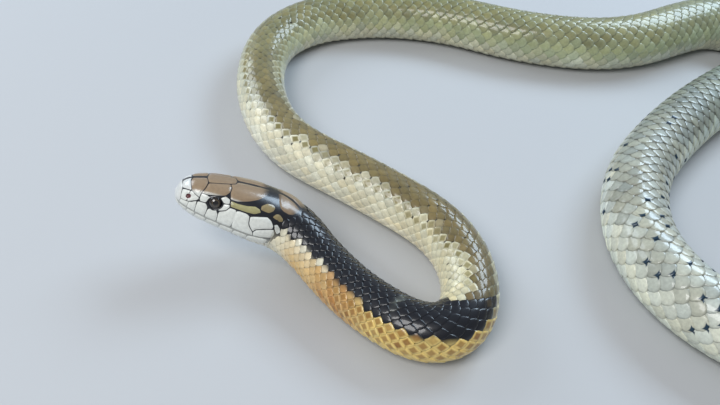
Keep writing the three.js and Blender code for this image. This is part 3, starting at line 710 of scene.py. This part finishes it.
def olive_share(s, theta, shift=0.0):
    """0 on the pale flank and 1 on the olive back; a shift moves the border that many degrees up the side."""
    on_left, on_right = np.interp(s, OLIVE_FROM, OLIVE_LEFT), np.interp(s, OLIVE_FROM, OLIVE_RIGHT)
    edge = np.where(left_of(theta), on_left, on_right)
    return ramp(side_of(theta) - edge - shift - 3 * ripple(s, theta, 17, 3, 0.4), -5, 14)


def body_colour(s, theta, shift=0.0):
    """Colour of a place: throat under the mantle, olive over cream behind it."""
    side = side_of(theta)
    low = blend(along_colours(BODY_AT, BELLY, s), along_colours(BODY_AT, FLANK, s), ramp(side, 62, 100))
    olive = blend(low, along_colours(BODY_AT, BACK, s), olive_share(s, theta, shift))
    throat = blend(LIP, THROAT, ramp(s, 70, 92))
    climb = 0.6 * np.clip(s - 120, 0, 40)
    warm = ramp(s, 96, 122) * (1 - ramp(side, 116 + climb, 128 + climb))
    warm = warm * (1 - 0.6 * ramp(side, 94, 110) * (1 - ramp(s, 118, 146)))
    throat = blend(throat, AMBER, 0.9 * warm)
    rusty = ramp(s, 132, 158) * (1 - ramp(s, 178, 204)) * ramp(side, 40, 64)
    throat = blend(throat, RUST, warm * rusty * (0.4 + 0.4 * ripple(s, theta, 5, 7)))
    throat = blend(throat, YELLOW, ramp(s, 168, 206))
    throat = blend(throat, CREAM, ramp(s, 90, 120) * (1 - ramp(side, 30, 58)) * 0.7)
    left_end, right_end = np.interp(side, *THROAT_END_LEFT), np.interp(side, *THROAT_END_RIGHT)
    return blend(throat, olive, ramp(s - np.where(left_of(theta), left_end, right_end), -10, 10))


def mantle(s, theta):
    """1 on the black of the neck, 0 off it."""
    whole = np.asarray(theta, float) % 360
    edge = np.interp(s, *MANTLE_EDGE)
    edge = edge - np.where(left_of(theta), 0, FAR_SIDE_DROP * ramp(s, 96, 124))
    over = ramp(side_of(theta) - edge, -3, 3)
    return over * (1 - ramp(s - np.interp(whole, *MANTLE_END), -7, 7)) * ramp(s, 58, 62)


def mottle(s, theta):
    """How strongly scales carry a brown heart, low on the sides of the neck."""
    side, on_left = side_of(theta), left_of(theta)
    band = ramp(side, 74, 90) * (1 - ramp(side, 136, 144))
    return band * ramp(s, 132, 178) * (1 - ramp(s, np.where(on_left, 272, 235), np.where(on_left, 290, 255)))


def on_front(s):
    """The stretch behind the mantle where scales at the border of the olive keep a pale edge."""
    return ramp(s, *BEHIND_MANTLE) * (1 - ramp(s, *FRONT_FADES))


def edge_darkness(s, theta):
    """How dark the rims of the scales are."""
    return np.interp(s, *RIM_DARKNESS) * ramp(side_of(theta), 92, 132)


def pale_rims(s, theta):
    """Olive scales have paler borders: at the edge of the olive on the front, all over further back."""
    side = side_of(theta)
    front = 0.5 * on_front(s) * ramp(side, 96, 110) * (1 - ramp(side, 132, 156))
    return front + 0.55 * ramp(s, 560, 760) * (1 - ramp(s, 1300, 1460)) * ramp(side, 70, 110)


def pale_crossband_and_glint(s, theta):
    """A narrow pale stripe across the mantle: partly the cobra's own pale crossband, partly a painted
    highlight.
    """
    side = side_of(theta)
    fading = ramp(np.asarray(theta, float) % 360, 140, 205)
    return np.exp(-((s - CROSSBAND_AND_GLINT_AT - 0.06 * (180 - side)) / 2.2) ** 2) * ramp(side, 144, 152) * fading


# %% Colour the skin
s, theta, gap = skin_s[kept], skin_theta[kept], nostril_gap[kept]
side, black = side_of(theta), mantle(s, theta)
ground = blend(BLACK, body_colour(s, theta) * 0.55, 1 - ramp(side, 66, 112))
ground = blend(ground, BLACK, black)
ground = np.where((s < 80)[:, None], blend(BLACK, SEAM_PALE, 1 - ramp(side, 62, 80)), ground)
ground = blend(ground, SEAM_PALE, (1 - ramp(s, 12, 20)) * (1 - ramp(side, 84, 92)))
pigment = skin_colour[kept]
is_crown = (pigment == CROWN).all(1) | (pigment == CROWN_PALE).all(1)
crown_over_lip = blend(LIP, pigment, ramp(side, 116 + 0.25 * np.clip(s - 20, 0, 20), 130))
pigment = np.where(is_crown[:, None], crown_over_lip, pigment)
black_blob = np.exp(-((s - 69) / 7) ** 4 - ((side - 172) / 22) ** 4)
pigment = blend(pigment, BLACK, np.maximum(black_blob * 0.96, black * ramp(s, 88, 97)))
pigment = np.where((gap < NOSTRIL_RADIUS - 0.3)[:, None], NOSTRIL_RED, pigment)
add_layer(skin, "pigment", "FLOAT_COLOR", pigment)
add_layer(skin, "ground", "FLOAT_COLOR", ground)
add_layer(skin, "shield", "FLOAT", np.where(gap < NOSTRIL_RADIUS, 1, shield_depth[kept]))
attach(skin, "root")
fleshy = [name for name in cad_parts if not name.startswith("eye")]
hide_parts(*fleshy)
print("skin stands for", len(fleshy), "solids")

# %% [markdown]
# ## A scale
# Every scale on the back is the same small lens: a flat grid drawn into a blunt leaf shape, low at its
# rooted front and standing clear at its free rear edge, closed underneath. Its height is in millimetres and
# its length and width run from -1 to 1, so that one template serves from the nape to the tip of the tail.


# %% Template plates
RIM_DROP = 0.24
ROOT_DEPTH = 0.95
FREE_RISE = 1.25


def leaf_width(u, s0):
    """Half width of a scale at a place along it: blunt on the body, drawn to a point on the neck."""
    blunt = 0.14 + 0.86 * np.clip(1 - u ** 2, 0, 1) ** 0.72
    pointed = np.minimum(blunt, 1 - 0.96 * np.clip((u - 0.1) / 0.9, 0, 1) ** 1.25)
    return blunt + (pointed - blunt) * (1 - ramp(s0, 460, 900))[:, None]


def plate_template(rows, columns, crown_rise, thickness):
    """A closed square plate from a grid; returns its corners and its triangles."""
    plate = bmesh.new()
    bmesh.ops.create_grid(plate, x_segments=rows, y_segments=columns, size=1)
    for vert in plate.verts:
        u, v = (math.copysign(1 - (1 - abs(c)) ** 1.5, c) for c in vert.co.xy)
        dome = crown_rise * (1 - v ** 2) * (1 - u ** 4)
        rim = RIM_DROP if vert.is_boundary else 0
        vert.co = (u, v, -ROOT_DEPTH + FREE_RISE * (u + 1) / 2 + dome - rim)
    rim_edges = [e for e in plate.edges if e.is_boundary]
    skirt = bmesh.ops.extrude_edge_only(plate, edges=rim_edges)
    lowered = [v for v in skirt["geom"] if isinstance(v, bmesh.types.BMVert)]
    bmesh.ops.translate(plate, verts=lowered, vec=(0, 0, -thickness))
    bmesh.ops.holes_fill(plate, edges=[e for e in plate.edges if e.is_boundary])
    bmesh.ops.recalc_face_normals(plate, faces=plate.faces)
    bmesh.ops.triangulate(plate, faces=plate.faces)
    plate.verts.index_update()
    corners = np.array([v.co[:] for v in plate.verts])
    faces = np.array([[v.index for v in f.verts] for f in plate.faces])
    plate.free()
    return corners, faces


one_scale = plate_template(6, 5, 0.3, 0.4)
print("one scale:", len(one_scale[1]), "triangles")

# %% [markdown]
# ## Where the scales grow
# Scales stand in long rows, each row set half a scale behind its neighbour. One more count, of scales from
# the snout back, makes their spacing grow from the slim neck to the thick middle and shrink along the tail.
# Fewer rows run on the tail than on the neck. On the outside of a bend the scales spread and show dark skin;
# on the inside they slide together.

# %% Scale spacing and rows
SPACING_AT = (0, 80, 215, 400, 900, 1500, 2400, 2780, 3100, 3400, 3532)
SPACING = (6.4, 6.8, 8.0, 10.6, 11.8, 12.2, 11.6, 9.6, 8.0, 6.0, 4.4)
FULL_SPACING = 12.0
HALF_LENGTH = 0.64
MOST_STRETCH = 1.3
HALF_WIDTH = 0.97
BELLY_EDGE = 54
ZONES = ((40, 720, 19), (720, 1400, 17), (1400, 2790, 15), (2790, 2905, 13), (2905, 3040, 11),
         (3040, 3230, 9), (3230, TOTAL_LENGTH - 3, 7))
EXTRA_ROWS = np.arange(1, 5)
FLOOR_SIDE = 40
FLOOR_SINK = 0.34


def spacing_at(s):
    """Millimetres from one scale to the next in its row."""
    return np.interp(s, SPACING_AT, SPACING)


count_along = walked(1 / spacing_at(along))
print("belly plates from end to end:", int(count_along[-1]))


def count_at(s):
    """Scales counted from the snout back."""
    return np.interp(s, along, count_along)


def distance_of(count):
    return np.interp(count, count_along, along)


def row_angles(rows):
    """Angles of the rows, and how far apart they are."""
    gap = (360 - 2 * BELLY_EDGE) / rows
    return BELLY_EDGE + gap * (np.arange(rows) + 0.5), gap


def belly_edge(s):
    """Half angle covered by the belly plates."""
    return np.interp(s, (84, 93, 130), (0, 20, BELLY_EDGE))


def place_rows(s, angle, length, half_width):
    """One row of numbers per plate: distance, angle, half length and half width."""
    return np.stack([s, 0 * s + angle, spacing_at(s) * length, 0 * s + half_width], -1)


def scale_places():
    """Where every scale on back, sides and throat stands."""
    found = []
    for start, end, rows in ZONES:
        angles, gap = row_angles(rows)
        extra = BELLY_EDGE - gap * (EXTRA_ROWS - 0.5)
        angles = np.concatenate([extra, angles, 360 - extra])
        for angle in angles[(angles > 0) & (angles < 360)]:
            row = round((angle - BELLY_EDGE) / gap - 0.5)
            shift = 0.5 * ((row + 1) % 2)
            counts = np.arange(math.ceil(count_at(start) - shift), count_at(end) - shift) + shift
            s = distance_of(counts)
            side = float(side_of(angle))
            keep = (s > np.interp(side, *COAT_START)) & (s >= start) & (s < end)
            keep &= side > belly_edge(s) + 0.2 * gap
            s = s[keep]
            found.append(place_rows(s, angle, HALF_LENGTH, gap * HALF_WIDTH))
    return np.concatenate(found)


places = scale_places()
print("scales on back and sides:", len(places))


# %% Laying plates on the body
def lay_plates(name, template, width_at, places, chance, colours, marks=()):
    """Joined mesh of one plate per place, with colours, marks and a bake plan."""
    corners, faces = template
    s0, theta0, half_length, half_width = places.T
    u, across, w = corners.T
    v = across * width_at(u, s0)
    room = np.clip(stretch(s0, theta0), 0.2, None)
    reach = half_length * np.minimum(room, MOST_STRETCH) / room
    s = s0[:, None] + reach[:, None] * u
    theta = theta0[:, None] + half_width[:, None] * v
    height = w * np.clip(spacing_at(s0) / FULL_SPACING, 0.3, 1.1)[:, None]
    height = np.where(side_of(theta) < FLOOR_SIDE, height - FLOOR_SINK, height)
    place = surface(np.clip(s, 0, TOTAL_LENGTH), theta, height)
    count, size = len(s0), len(corners)
    mesh = bpy.data.meshes.new(name)
    joined = (faces[None] + size * np.arange(count)[:, None, None]).reshape(-1, 3)
    mesh.vertices.add(count * size)
    mesh.vertices.foreach_set("co", place.astype(np.float32).ravel())
    mesh.loops.add(joined.size)
    mesh.loops.foreach_set("vertex_index", joined.astype(np.int32).ravel())
    mesh.polygons.add(len(joined))
    mesh.polygons.foreach_set("loop_start", np.arange(0, joined.size, 3, dtype=np.int32))
    mesh.polygons.foreach_set("use_smooth", np.ones(len(joined), bool))
    mesh.update(calc_edges=True)
    root_u, root_v = unwrap(s0, theta0 % 360, s0)
    patch = np.stack([root_u[:, None] + 0.0015 * u, root_v[:, None] + 0.0015 * v], -1).reshape(-1, 2)
    bake = mesh.uv_layers.new(name="OFBake")
    bake.data.foreach_set("uv", patch[joined.ravel()].astype(np.float32).ravel())
    piece = placed(mesh, name)
    pigment = colours(s0, theta0, u, v, np.abs(across), chance)
    add_layer(piece, "pigment", "FLOAT_COLOR", pigment.reshape(-1, 3))
    for mark_name, mark in marks:
        add_layer(piece, mark_name, "FLOAT_VECTOR", mark(places, u, v).reshape(-1, 3))
    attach(piece, "root")
    print(name, "has", count, "plates and", len(joined), "triangles")
    return piece


# %% Colour of each scale
RIM_GREEN = tone(198, 206, 176)
HEART_SHIFT = 21
BORDER_SCATTER = 14


def scale_colours(s0, theta0, u, v, aside, chance):
    """Colour of every corner of every scale, from its place and its own small chances."""
    blotch = ripple(s0, theta0, 26, 2, 1.1)[:, None]
    uneven = (0.12 + 0.18 * np.maximum(ramp(side_of(theta0), 104, 122), ramp(s0, 560, 760)))[:, None]
    scatter = BORDER_SCATTER * ramp(s0, *BEHIND_MANTLE) * (chance[:, 2] - 0.5)
    base = body_colour(s0, theta0 + scatter, HEART_SHIFT * on_front(s0))
    base = base * (0.99 + uneven * (chance[:, :1] - 0.5))
    base = base * (1 + 0.14 * blotch * ramp(s0, 290, 340)[:, None])
    warm = 1 + (chance[:, 1:2] - 0.5) * np.array([0.10, 0.02, -0.12])
    coat = np.broadcast_to((base * warm)[:, None, :], (len(s0), len(u), 3))
    rim = np.maximum(aside ** 3, np.clip(u, 0, 1) ** 4)
    front = ramp(-u, -0.2, 0.8)
    coat = blend(coat, RIM_GREEN, pale_rims(s0, theta0)[:, None] * (0.35 + 0.65 * chance[:, 2:3]) * rim)
    dark = edge_darkness(s0, theta0)[:, None] * (0.75 * rim ** 1.5 + 0.6 * front)
    coat = blend(coat, BLACK, dark * (0.55 + 0.45 * chance[:, 3:4]))
    across = theta0[:, None] + 1.5 * v
    along_scale = s0[:, None] + u[None, :] + 3 * (chance[:, 3:4] - 0.5)
    black = ramp(mantle(along_scale, across + 5 * (chance[:, 0:1] - 0.5) + 1), 0.3, 0.7)
    coat = blend(coat, BLACK, black)
    # Pale stripe on the black: partly crossband, partly painted highlight, strongest at the rims of the
    # scales.
    crossband_and_glint_weight = pale_crossband_and_glint(s0[:, None] + 4 * u[None, :], theta0[:, None])
    return blend(coat, CROSSBAND_AND_GLINT_COLOUR, crossband_and_glint_weight * black * (0.12 + 0.5 * rim))


# %% Marks drawn finer than the scales themselves
STAR_COLOUR = tone(14, 48, 68)
STAR_SHADE = 0.12
STAR_SHARE = 0.24
SPECK_SHARE = 0.2
SPECKS_END_AT = 1000
STAR_LENGTH, STAR_WIDTH = 1.28, 0.97
VISIBLE_MIDDLE = 0.12
HEART_LENGTH = 0.8
NEIGHBOURS = ((0, 0, 0.9, 0), (0.5, 1, 0.13, 1.03), (0.5, -1, 0.13, -1.03), (1, 0, -0.66, 0))


def star_weight(counts, theta):
    """Whether the scale at this count and angle carries a black star at its tip: always the same answer."""
    scattered = np.sin(np.round(2 * counts) * 78.233 + np.round(theta % 360, 1) * 12.99) * 43758.5453
    s = distance_of(counts)
    on_limb = STAR_SHARE * ramp(s, 1560, 1680) * (1 - ramp(s, 1960, 2200)) * ramp(side_of(theta), 76, 96)
    specks = SPECK_SHARE * ramp(s, 280, 300) * (1 - ramp(s, 640, 820)) * ramp(side_of(theta), 112, 130)
    return (scattered % 1 < on_limb + specks) * 1.0


def star_offsets(places, u, v):
    """Place within the nearest star, along the two seams that cross there, and whether there is one."""
    s0, theta0, _, half_width = places.T
    counts = count_at(s0)
    found = np.tile([9.0, 9.0, 0.0], (len(s0), len(u), 1))
    for behind, row, star_u, star_v in NEIGHBOURS:
        present = star_weight(counts - behind, theta0 + row * half_width / HALF_WIDTH) * (found[:, 0, 2] == 0)
        smaller = (1 + 0.5 * (s0 < SPECKS_END_AT))[:, None]
        du, dv = STAR_LENGTH * (u - star_u) * smaller, STAR_WIDTH * (v - star_v) * smaller
        offsets = np.stack([du + dv, du - dv, 0 * v + 1], -1)
        found = np.where(present[:, None, None] > 0, offsets, found)
    return found


def heart_offsets(places, u, v):
    """Place within the visible lozenge of each scale, and how brown its heart is."""
    s0, theta0 = places[:, 0], places[:, 1]
    olive = on_front(s0) * (olive_share(s0, theta0, 2) - olive_share(s0, theta0, HEART_SHIFT))
    uneven = 0.7 + 0.3 * (np.sin(12.9898 * s0 + 78.233 * theta0) * 43758.5453 % 1)
    weight = uneven * np.maximum(mottle(s0, theta0), olive) * (1 - ramp(mantle(s0, theta0 + 1), 0.6, 0.9))
    return np.stack([(u - VISIBLE_MIDDLE) / HEART_LENGTH + 0 * v, v, weight[:, None] + 0 * v], -1)


def mark_tint(places, u, v):
    """Colour of each scale's heart, brown on the neck and olive behind; stars are a dark shade of it."""
    tint = blend(BROWN, OLIVE_HEART, ramp(places[:, 0], 262, 285))
    tint = blend(tint, STAR_COLOUR / STAR_SHADE, ramp(places[:, 0], 900, 1300))
    return np.repeat(tint[:, None], len(u), 1)


rng = np.random.default_rng(7)
MARKS = (("star", star_offsets), ("heart", heart_offsets), ("mark_tint", mark_tint))
COAT_PARTS = (("neck_scales", 0, 700), ("front_scales", 700, 1500), ("middle_scales", 1500, 2300),
              ("hind_scales", 2300, 2790), ("tail_scales", 2790, TOTAL_LENGTH))
coat = []
for name, start, end in COAT_PARTS:
    chosen = places[(places[:, 0] >= start) & (places[:, 0] < end)]
    chance = rng.random((len(chosen), 4))
    coat.append(lay_plates(name, one_scale, leaf_width, chosen, chance, scale_colours, MARKS))

# %% [markdown]
# ## Belly plates
# Under the body each count of scales meets one broad plate that reaches across the whole belly, its rear
# edge free and slightly bowed. Behind the vent the plates stand in pairs that meet in a zigzag.


# %% Plates under body and tail
def belly_width(u, s0):
    return np.tile(1 - 0.06 * np.maximum(u, 0) ** 3, (len(s0), 1))


belly_plate = plate_template(4, 16, 0.02, 0.35)
first_plate, last_plate = (math.ceil(count_at(at)) for at in (90, VENT_AT))
plate_s = distance_of(np.arange(first_plate, last_plate))
belly_places = place_rows(plate_s, 0, 0.6, belly_edge(plate_s) + 2)
tail_counts = np.arange(last_plate, count_along[-1] - 1)
pairs = []
for side, shift in ((1, 0), (-1, 0.5)):
    s = distance_of(tail_counts + shift)
    half = belly_edge(s) / 2 + 1
    pairs.append(place_rows(s, side * half * 0.95, 0.62, half + 1))
tail_places = np.concatenate(pairs)


def belly_colours(s0, theta0, u, v, aside, chance):
    """Colour of the belly's midline, with a dark rear edge and a greyer root toward the tail."""
    base = body_colour(s0, theta0 * 0) * (0.93 + 0.1 * chance[:, :1])
    base = np.broadcast_to(base[:, None, :], (len(s0), len(u), 3))
    grey = 0.5 * ramp(s0, 1900, 2700)[:, None]
    return blend(base, BLACK, 0.34 * np.clip(u, 0, 1) ** 5 + grey * np.clip(-u, 0, 1))


belly = lay_plates("belly_plates", belly_plate, belly_width, belly_places,
                   rng.random((len(belly_places), 4)), belly_colours)
under_tail = lay_plates("tail_plates", belly_plate, belly_width, tail_places,
                        rng.random((len(tail_places), 4)), belly_colours)

# %% [markdown]
# ## Eyes
# Each eye is a separate polished ball, set as deep as the solids set it. A number on its surface, the angle
# away from its own axis, draws the round black pupil, the thin golden ring round it and the dark rim.


# %% Eyes
def make_eye(name, node, side_angle):
    """A polished ball that looks straight out from its place on the head."""
    inner, outer = point(EYE_AT, side_angle, -EYE_DEPTH), point(EYE_AT, side_angle)
    axis = (outer - inner) / np.linalg.norm(outer - inner)
    ball = bmesh.new()
    bmesh.ops.create_uvsphere(ball, u_segments=48, v_segments=32, radius=EYE_RADIUS * MM, calc_uvs=True)
    facing = Vector(axis.tolist()).to_track_quat("Z", "Y").to_matrix().to_4x4()
    turn = Matrix.Translation(inner.tolist()) @ facing
    away = np.degrees([v.co.angle((0, 0, 1)) for v in ball.verts])
    bmesh.ops.transform(ball, matrix=turn, verts=ball.verts)
    for face in ball.faces:
        face.smooth = True
    eye = finished(ball, name)
    add_layer(eye, "away", "FLOAT", away)
    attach(eye, "root")
    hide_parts(node)
    return eye


eyes = [make_eye("left_eye", "eye_left", EYE_ANGLE), make_eye("right_eye", "eye_right", -EYE_ANGLE)]
print("eyes set:", len(eyes))

# %% [markdown]
# ## Finishes
# The scales are dry and polished, so they have a soft shine with a faint clear layer. On the head a dark
# seam is drawn wherever the number for the depth inside a shield falls below zero. Faint noise keeps large
# areas from looking like plastic.


# %% Words for shader nodes
def new_material(name):
    """A fresh material, its node tree and its main shader."""
    material = bpy.data.materials.new(name)
    material.use_nodes = True
    return material, material.node_tree, material.node_tree.nodes["Principled BSDF"]


def put(node, **values):
    """Numbers straight onto the sockets of a node; a name's words are joined by underscores."""
    for name, value in values.items():
        node.inputs[name.replace("_", " ")].default_value = value


def connect(tree, sockets, values):
    """Link what is a socket and set what is a plain value."""
    for socket, value in zip(sockets, values):
        if isinstance(value, bpy.types.NodeSocket):
            tree.links.new(value, socket)
        else:
            socket.default_value = value


def attribute(tree, name):
    node = tree.nodes.new("ShaderNodeAttribute")
    node.attribute_name = name
    return node


def noise_at(tree, scale, detail):
    place = tree.nodes.new("ShaderNodeTexCoord")
    noise = tree.nodes.new("ShaderNodeTexNoise")
    put(noise, Scale=scale, Detail=detail)
    tree.links.new(place.outputs["Object"], noise.inputs["Vector"])
    return noise


def stretched(tree, source, low, high, to_low, to_high):
    """A value carried from one range to another."""
    node = tree.nodes.new("ShaderNodeMapRange")
    put(node, From_Min=low, From_Max=high, To_Min=to_low, To_Max=to_high)
    tree.links.new(source, node.inputs["Value"])
    return node.outputs["Result"]


def mixed(tree, mode, factor, a, b):
    node = tree.nodes.new("ShaderNodeMix")
    node.data_type = "RGBA"
    node.blend_type = mode
    connect(tree, [node.inputs[index] for index in (0, 6, 7)], (factor, a, b))
    return node.outputs[2]


def bumped(tree, shader, height, strength, distance):
    bump = tree.nodes.new("ShaderNodeBump")
    put(bump, Strength=strength, Distance=distance)
    tree.links.new(height, bump.inputs["Height"])
    tree.links.new(bump.outputs["Normal"], shader.inputs["Normal"])


def calculated(tree, operation, *values):
    node = tree.nodes.new("ShaderNodeMath")
    node.operation = operation
    connect(tree, node.inputs, values)
    return node.outputs["Value"]


def marked(tree, name, power, inner, outer):
    """1 inside a four-cornered mark, 0 outside: hollow-sided below a power of one, a lozenge at one."""
    parts = tree.nodes.new("ShaderNodeSeparateXYZ")
    tree.links.new(attribute(tree, name).outputs["Vector"], parts.inputs["Vector"])
    arms = [calculated(tree, "POWER", calculated(tree, "ABSOLUTE", parts.outputs[axis]), power)
            for axis in ("X", "Y")]
    reach = calculated(tree, "ADD", *arms)
    inside = stretched(tree, reach, inner, outer, 1, 0)
    return calculated(tree, "MULTIPLY", inside, parts.outputs["Z"])


# %% Scale and plate finishes
def coat_material(name, roughness, coat_weight, with_marks=False):
    """Finish of scales and plates: their own colour, faint noise, and marks where they carry them."""
    material, tree, shader = new_material(name)
    fine = noise_at(tree, 380, 3)
    shade = stretched(tree, fine.outputs["Fac"], 0.3, 0.7, 0.86, 1.08)
    pigment = attribute(tree, "pigment").outputs["Color"]
    if with_marks:
        heart = marked(tree, "heart", 1.0, 0.48, 0.86)
        star = marked(tree, "star", 0.6, 0.8, 1.0)
        tint = attribute(tree, "mark_tint").outputs["Vector"]
        pigment = mixed(tree, "MIX", heart, pigment, tint)
        dark_tint = mixed(tree, "MULTIPLY", 1.0, tint, (STAR_SHADE, STAR_SHADE, STAR_SHADE, 1))
        pigment = mixed(tree, "MIX", star, pigment, dark_tint)
    colour = mixed(tree, "MULTIPLY", 1.0, pigment, shade)
    tree.links.new(colour, shader.inputs["Base Color"])
    put(shader, Roughness=roughness, Specular_IOR_Level=0.3, Coat_Weight=coat_weight, Coat_Roughness=0.11)
    bumped(tree, shader, fine.outputs["Fac"], 0.25, 0.0002)
    return material


scale_finish = coat_material("polished scales", 0.4, 0.6, with_marks=True)
belly_finish = coat_material("belly plates", 0.38, 0.4)
for piece in coat:
    piece.data.materials.append(scale_finish)
for piece in (belly, under_tail):
    piece.data.materials.append(belly_finish)

# %% Skin finish: dark seams between the shields
skin_finish, tree, shader = new_material("head and ground skin")
fine = noise_at(tree, 420, 3)
shade = stretched(tree, fine.outputs["Fac"], 0.3, 0.7, 0.9, 1.06)
in_shield = stretched(tree, attribute(tree, "shield").outputs["Fac"], -0.06, 0.1, 0, 1)
colour = mixed(tree, "MIX", in_shield, attribute(tree, "ground").outputs["Color"],
               attribute(tree, "pigment").outputs["Color"])
tree.links.new(mixed(tree, "MULTIPLY", 1.0, colour, shade), shader.inputs["Base Color"])
put(shader, Roughness=0.34, Coat_Weight=0.5, Coat_Roughness=0.16)
bumped(tree, shader, fine.outputs["Fac"], 0.2, 0.0002)
skin.data.materials.append(skin_finish)

# %% Eye finish: pupil, golden ring, dark iris and rim
PUPIL = (0.004, 0.003, 0.003, 1)
EYE_RIM = (0.01, 0.008, 0.006, 1)
IRIS = ((0.26, PUPIL), (0.285, (0.16, 0.11, 0.05, 1)), (0.31, (0.035, 0.022, 0.012, 1)),
        (0.46, (0.014, 0.009, 0.006, 1)))
eye_finish, tree, shader = new_material("eye")
away_angle = attribute(tree, "away").outputs["Fac"]
bands = tree.nodes.new("ShaderNodeValToRGB")
bands.color_ramp.elements[0].color = PUPIL
bands.color_ramp.elements[1].color = EYE_RIM
for at, shown in IRIS:
    bands.color_ramp.elements.new(at).color = shown
tree.links.new(stretched(tree, away_angle, 0, 90, 0, 1), bands.inputs["Fac"])
tree.links.new(bands.outputs["Color"], shader.inputs["Base Color"])
put(shader, Roughness=0.08, Coat_Weight=1.0, Coat_Roughness=0.02)
for eye in eyes:
    eye.data.materials.append(eye_finish)
print("finishes made:", len(bpy.data.materials))

# %% [markdown]
# ## Camera
# The picture is taken from the left side of the head, a little under half a metre up, looking down over the
# coils. The lens is 37.5 mm on a 36 mm frame, and the camera leans by a few degrees.

# %% Camera
CAMERA_PLACE = (-0.2643, -0.6991, 0.462)
CAMERA_TILT = 46.7
CAMERA_ROLL = 5
lens = bpy.data.cameras.new("camera")
lens.lens = 37.5
lens.sensor_width = 36
lens.clip_start = 0.01
lens.dof.use_dof = False
tilt = Matrix.Rotation(math.radians(CAMERA_TILT), 4, "X") @ Matrix.Rotation(math.radians(CAMERA_ROLL), 4, "Z")
camera = placed(lens, "camera")
camera.matrix_world = Matrix.Translation(CAMERA_PLACE) @ tilt
bpy.context.scene.camera = camera

# %% [markdown]
# ## Floor and light
# A plain grey floor and a broad white source high in front give soft shadows. A cooler one behind to the
# right and a small cool one at the left give the bluish sheen along the black of the neck.

# %% Floor, lights and world
ground_plane = bmesh.new()
bmesh.ops.create_grid(ground_plane, x_segments=1, y_segments=1, size=6)
floor = finished(ground_plane, "floor")
floor_finish, tree, shader = new_material("studio floor")
put(shader, Base_Color=(0.47, 0.48, 0.49, 1), Roughness=0.8)
floor.data.materials.append(floor_finish)


def area_light(name, place, aim, size, power, colour):
    """A rectangular light at a place, turned toward another."""
    light = bpy.data.lights.new(name, "AREA")
    light.shape = "RECTANGLE"
    light.size, light.size_y = size
    light.energy = power
    light.color = colour
    lamp = placed(light, name)
    direction = Vector(aim) - Vector(place)
    lamp.matrix_world = Matrix.Translation(place) @ direction.to_track_quat("-Z", "Y").to_matrix().to_4x4()


area_light("key light", (-0.9, -1.1, 1.5), (-0.2, 0, 0), (0.9, 0.9), 22, (0.98, 0.98, 0.98))
area_light("cool light", (0.75, 0.8, 1.15), (0.1, -0.05, 0), (1.1, 0.6), 22, (0.66, 0.83, 1.0))
area_light("side light", (-1.3, 0.5, 0.8), (-0.1, 0, 0), (0.9, 0.6), 8, (0.78, 0.89, 1.0))
world = bpy.data.worlds.new("studio")
bpy.context.scene.world = world
world.use_nodes = True
put(world.node_tree.nodes["Background"], Color=(0.9, 0.93, 1.0, 1), Strength=0.33)
bpy.context.scene.view_settings.view_transform = "Standard"
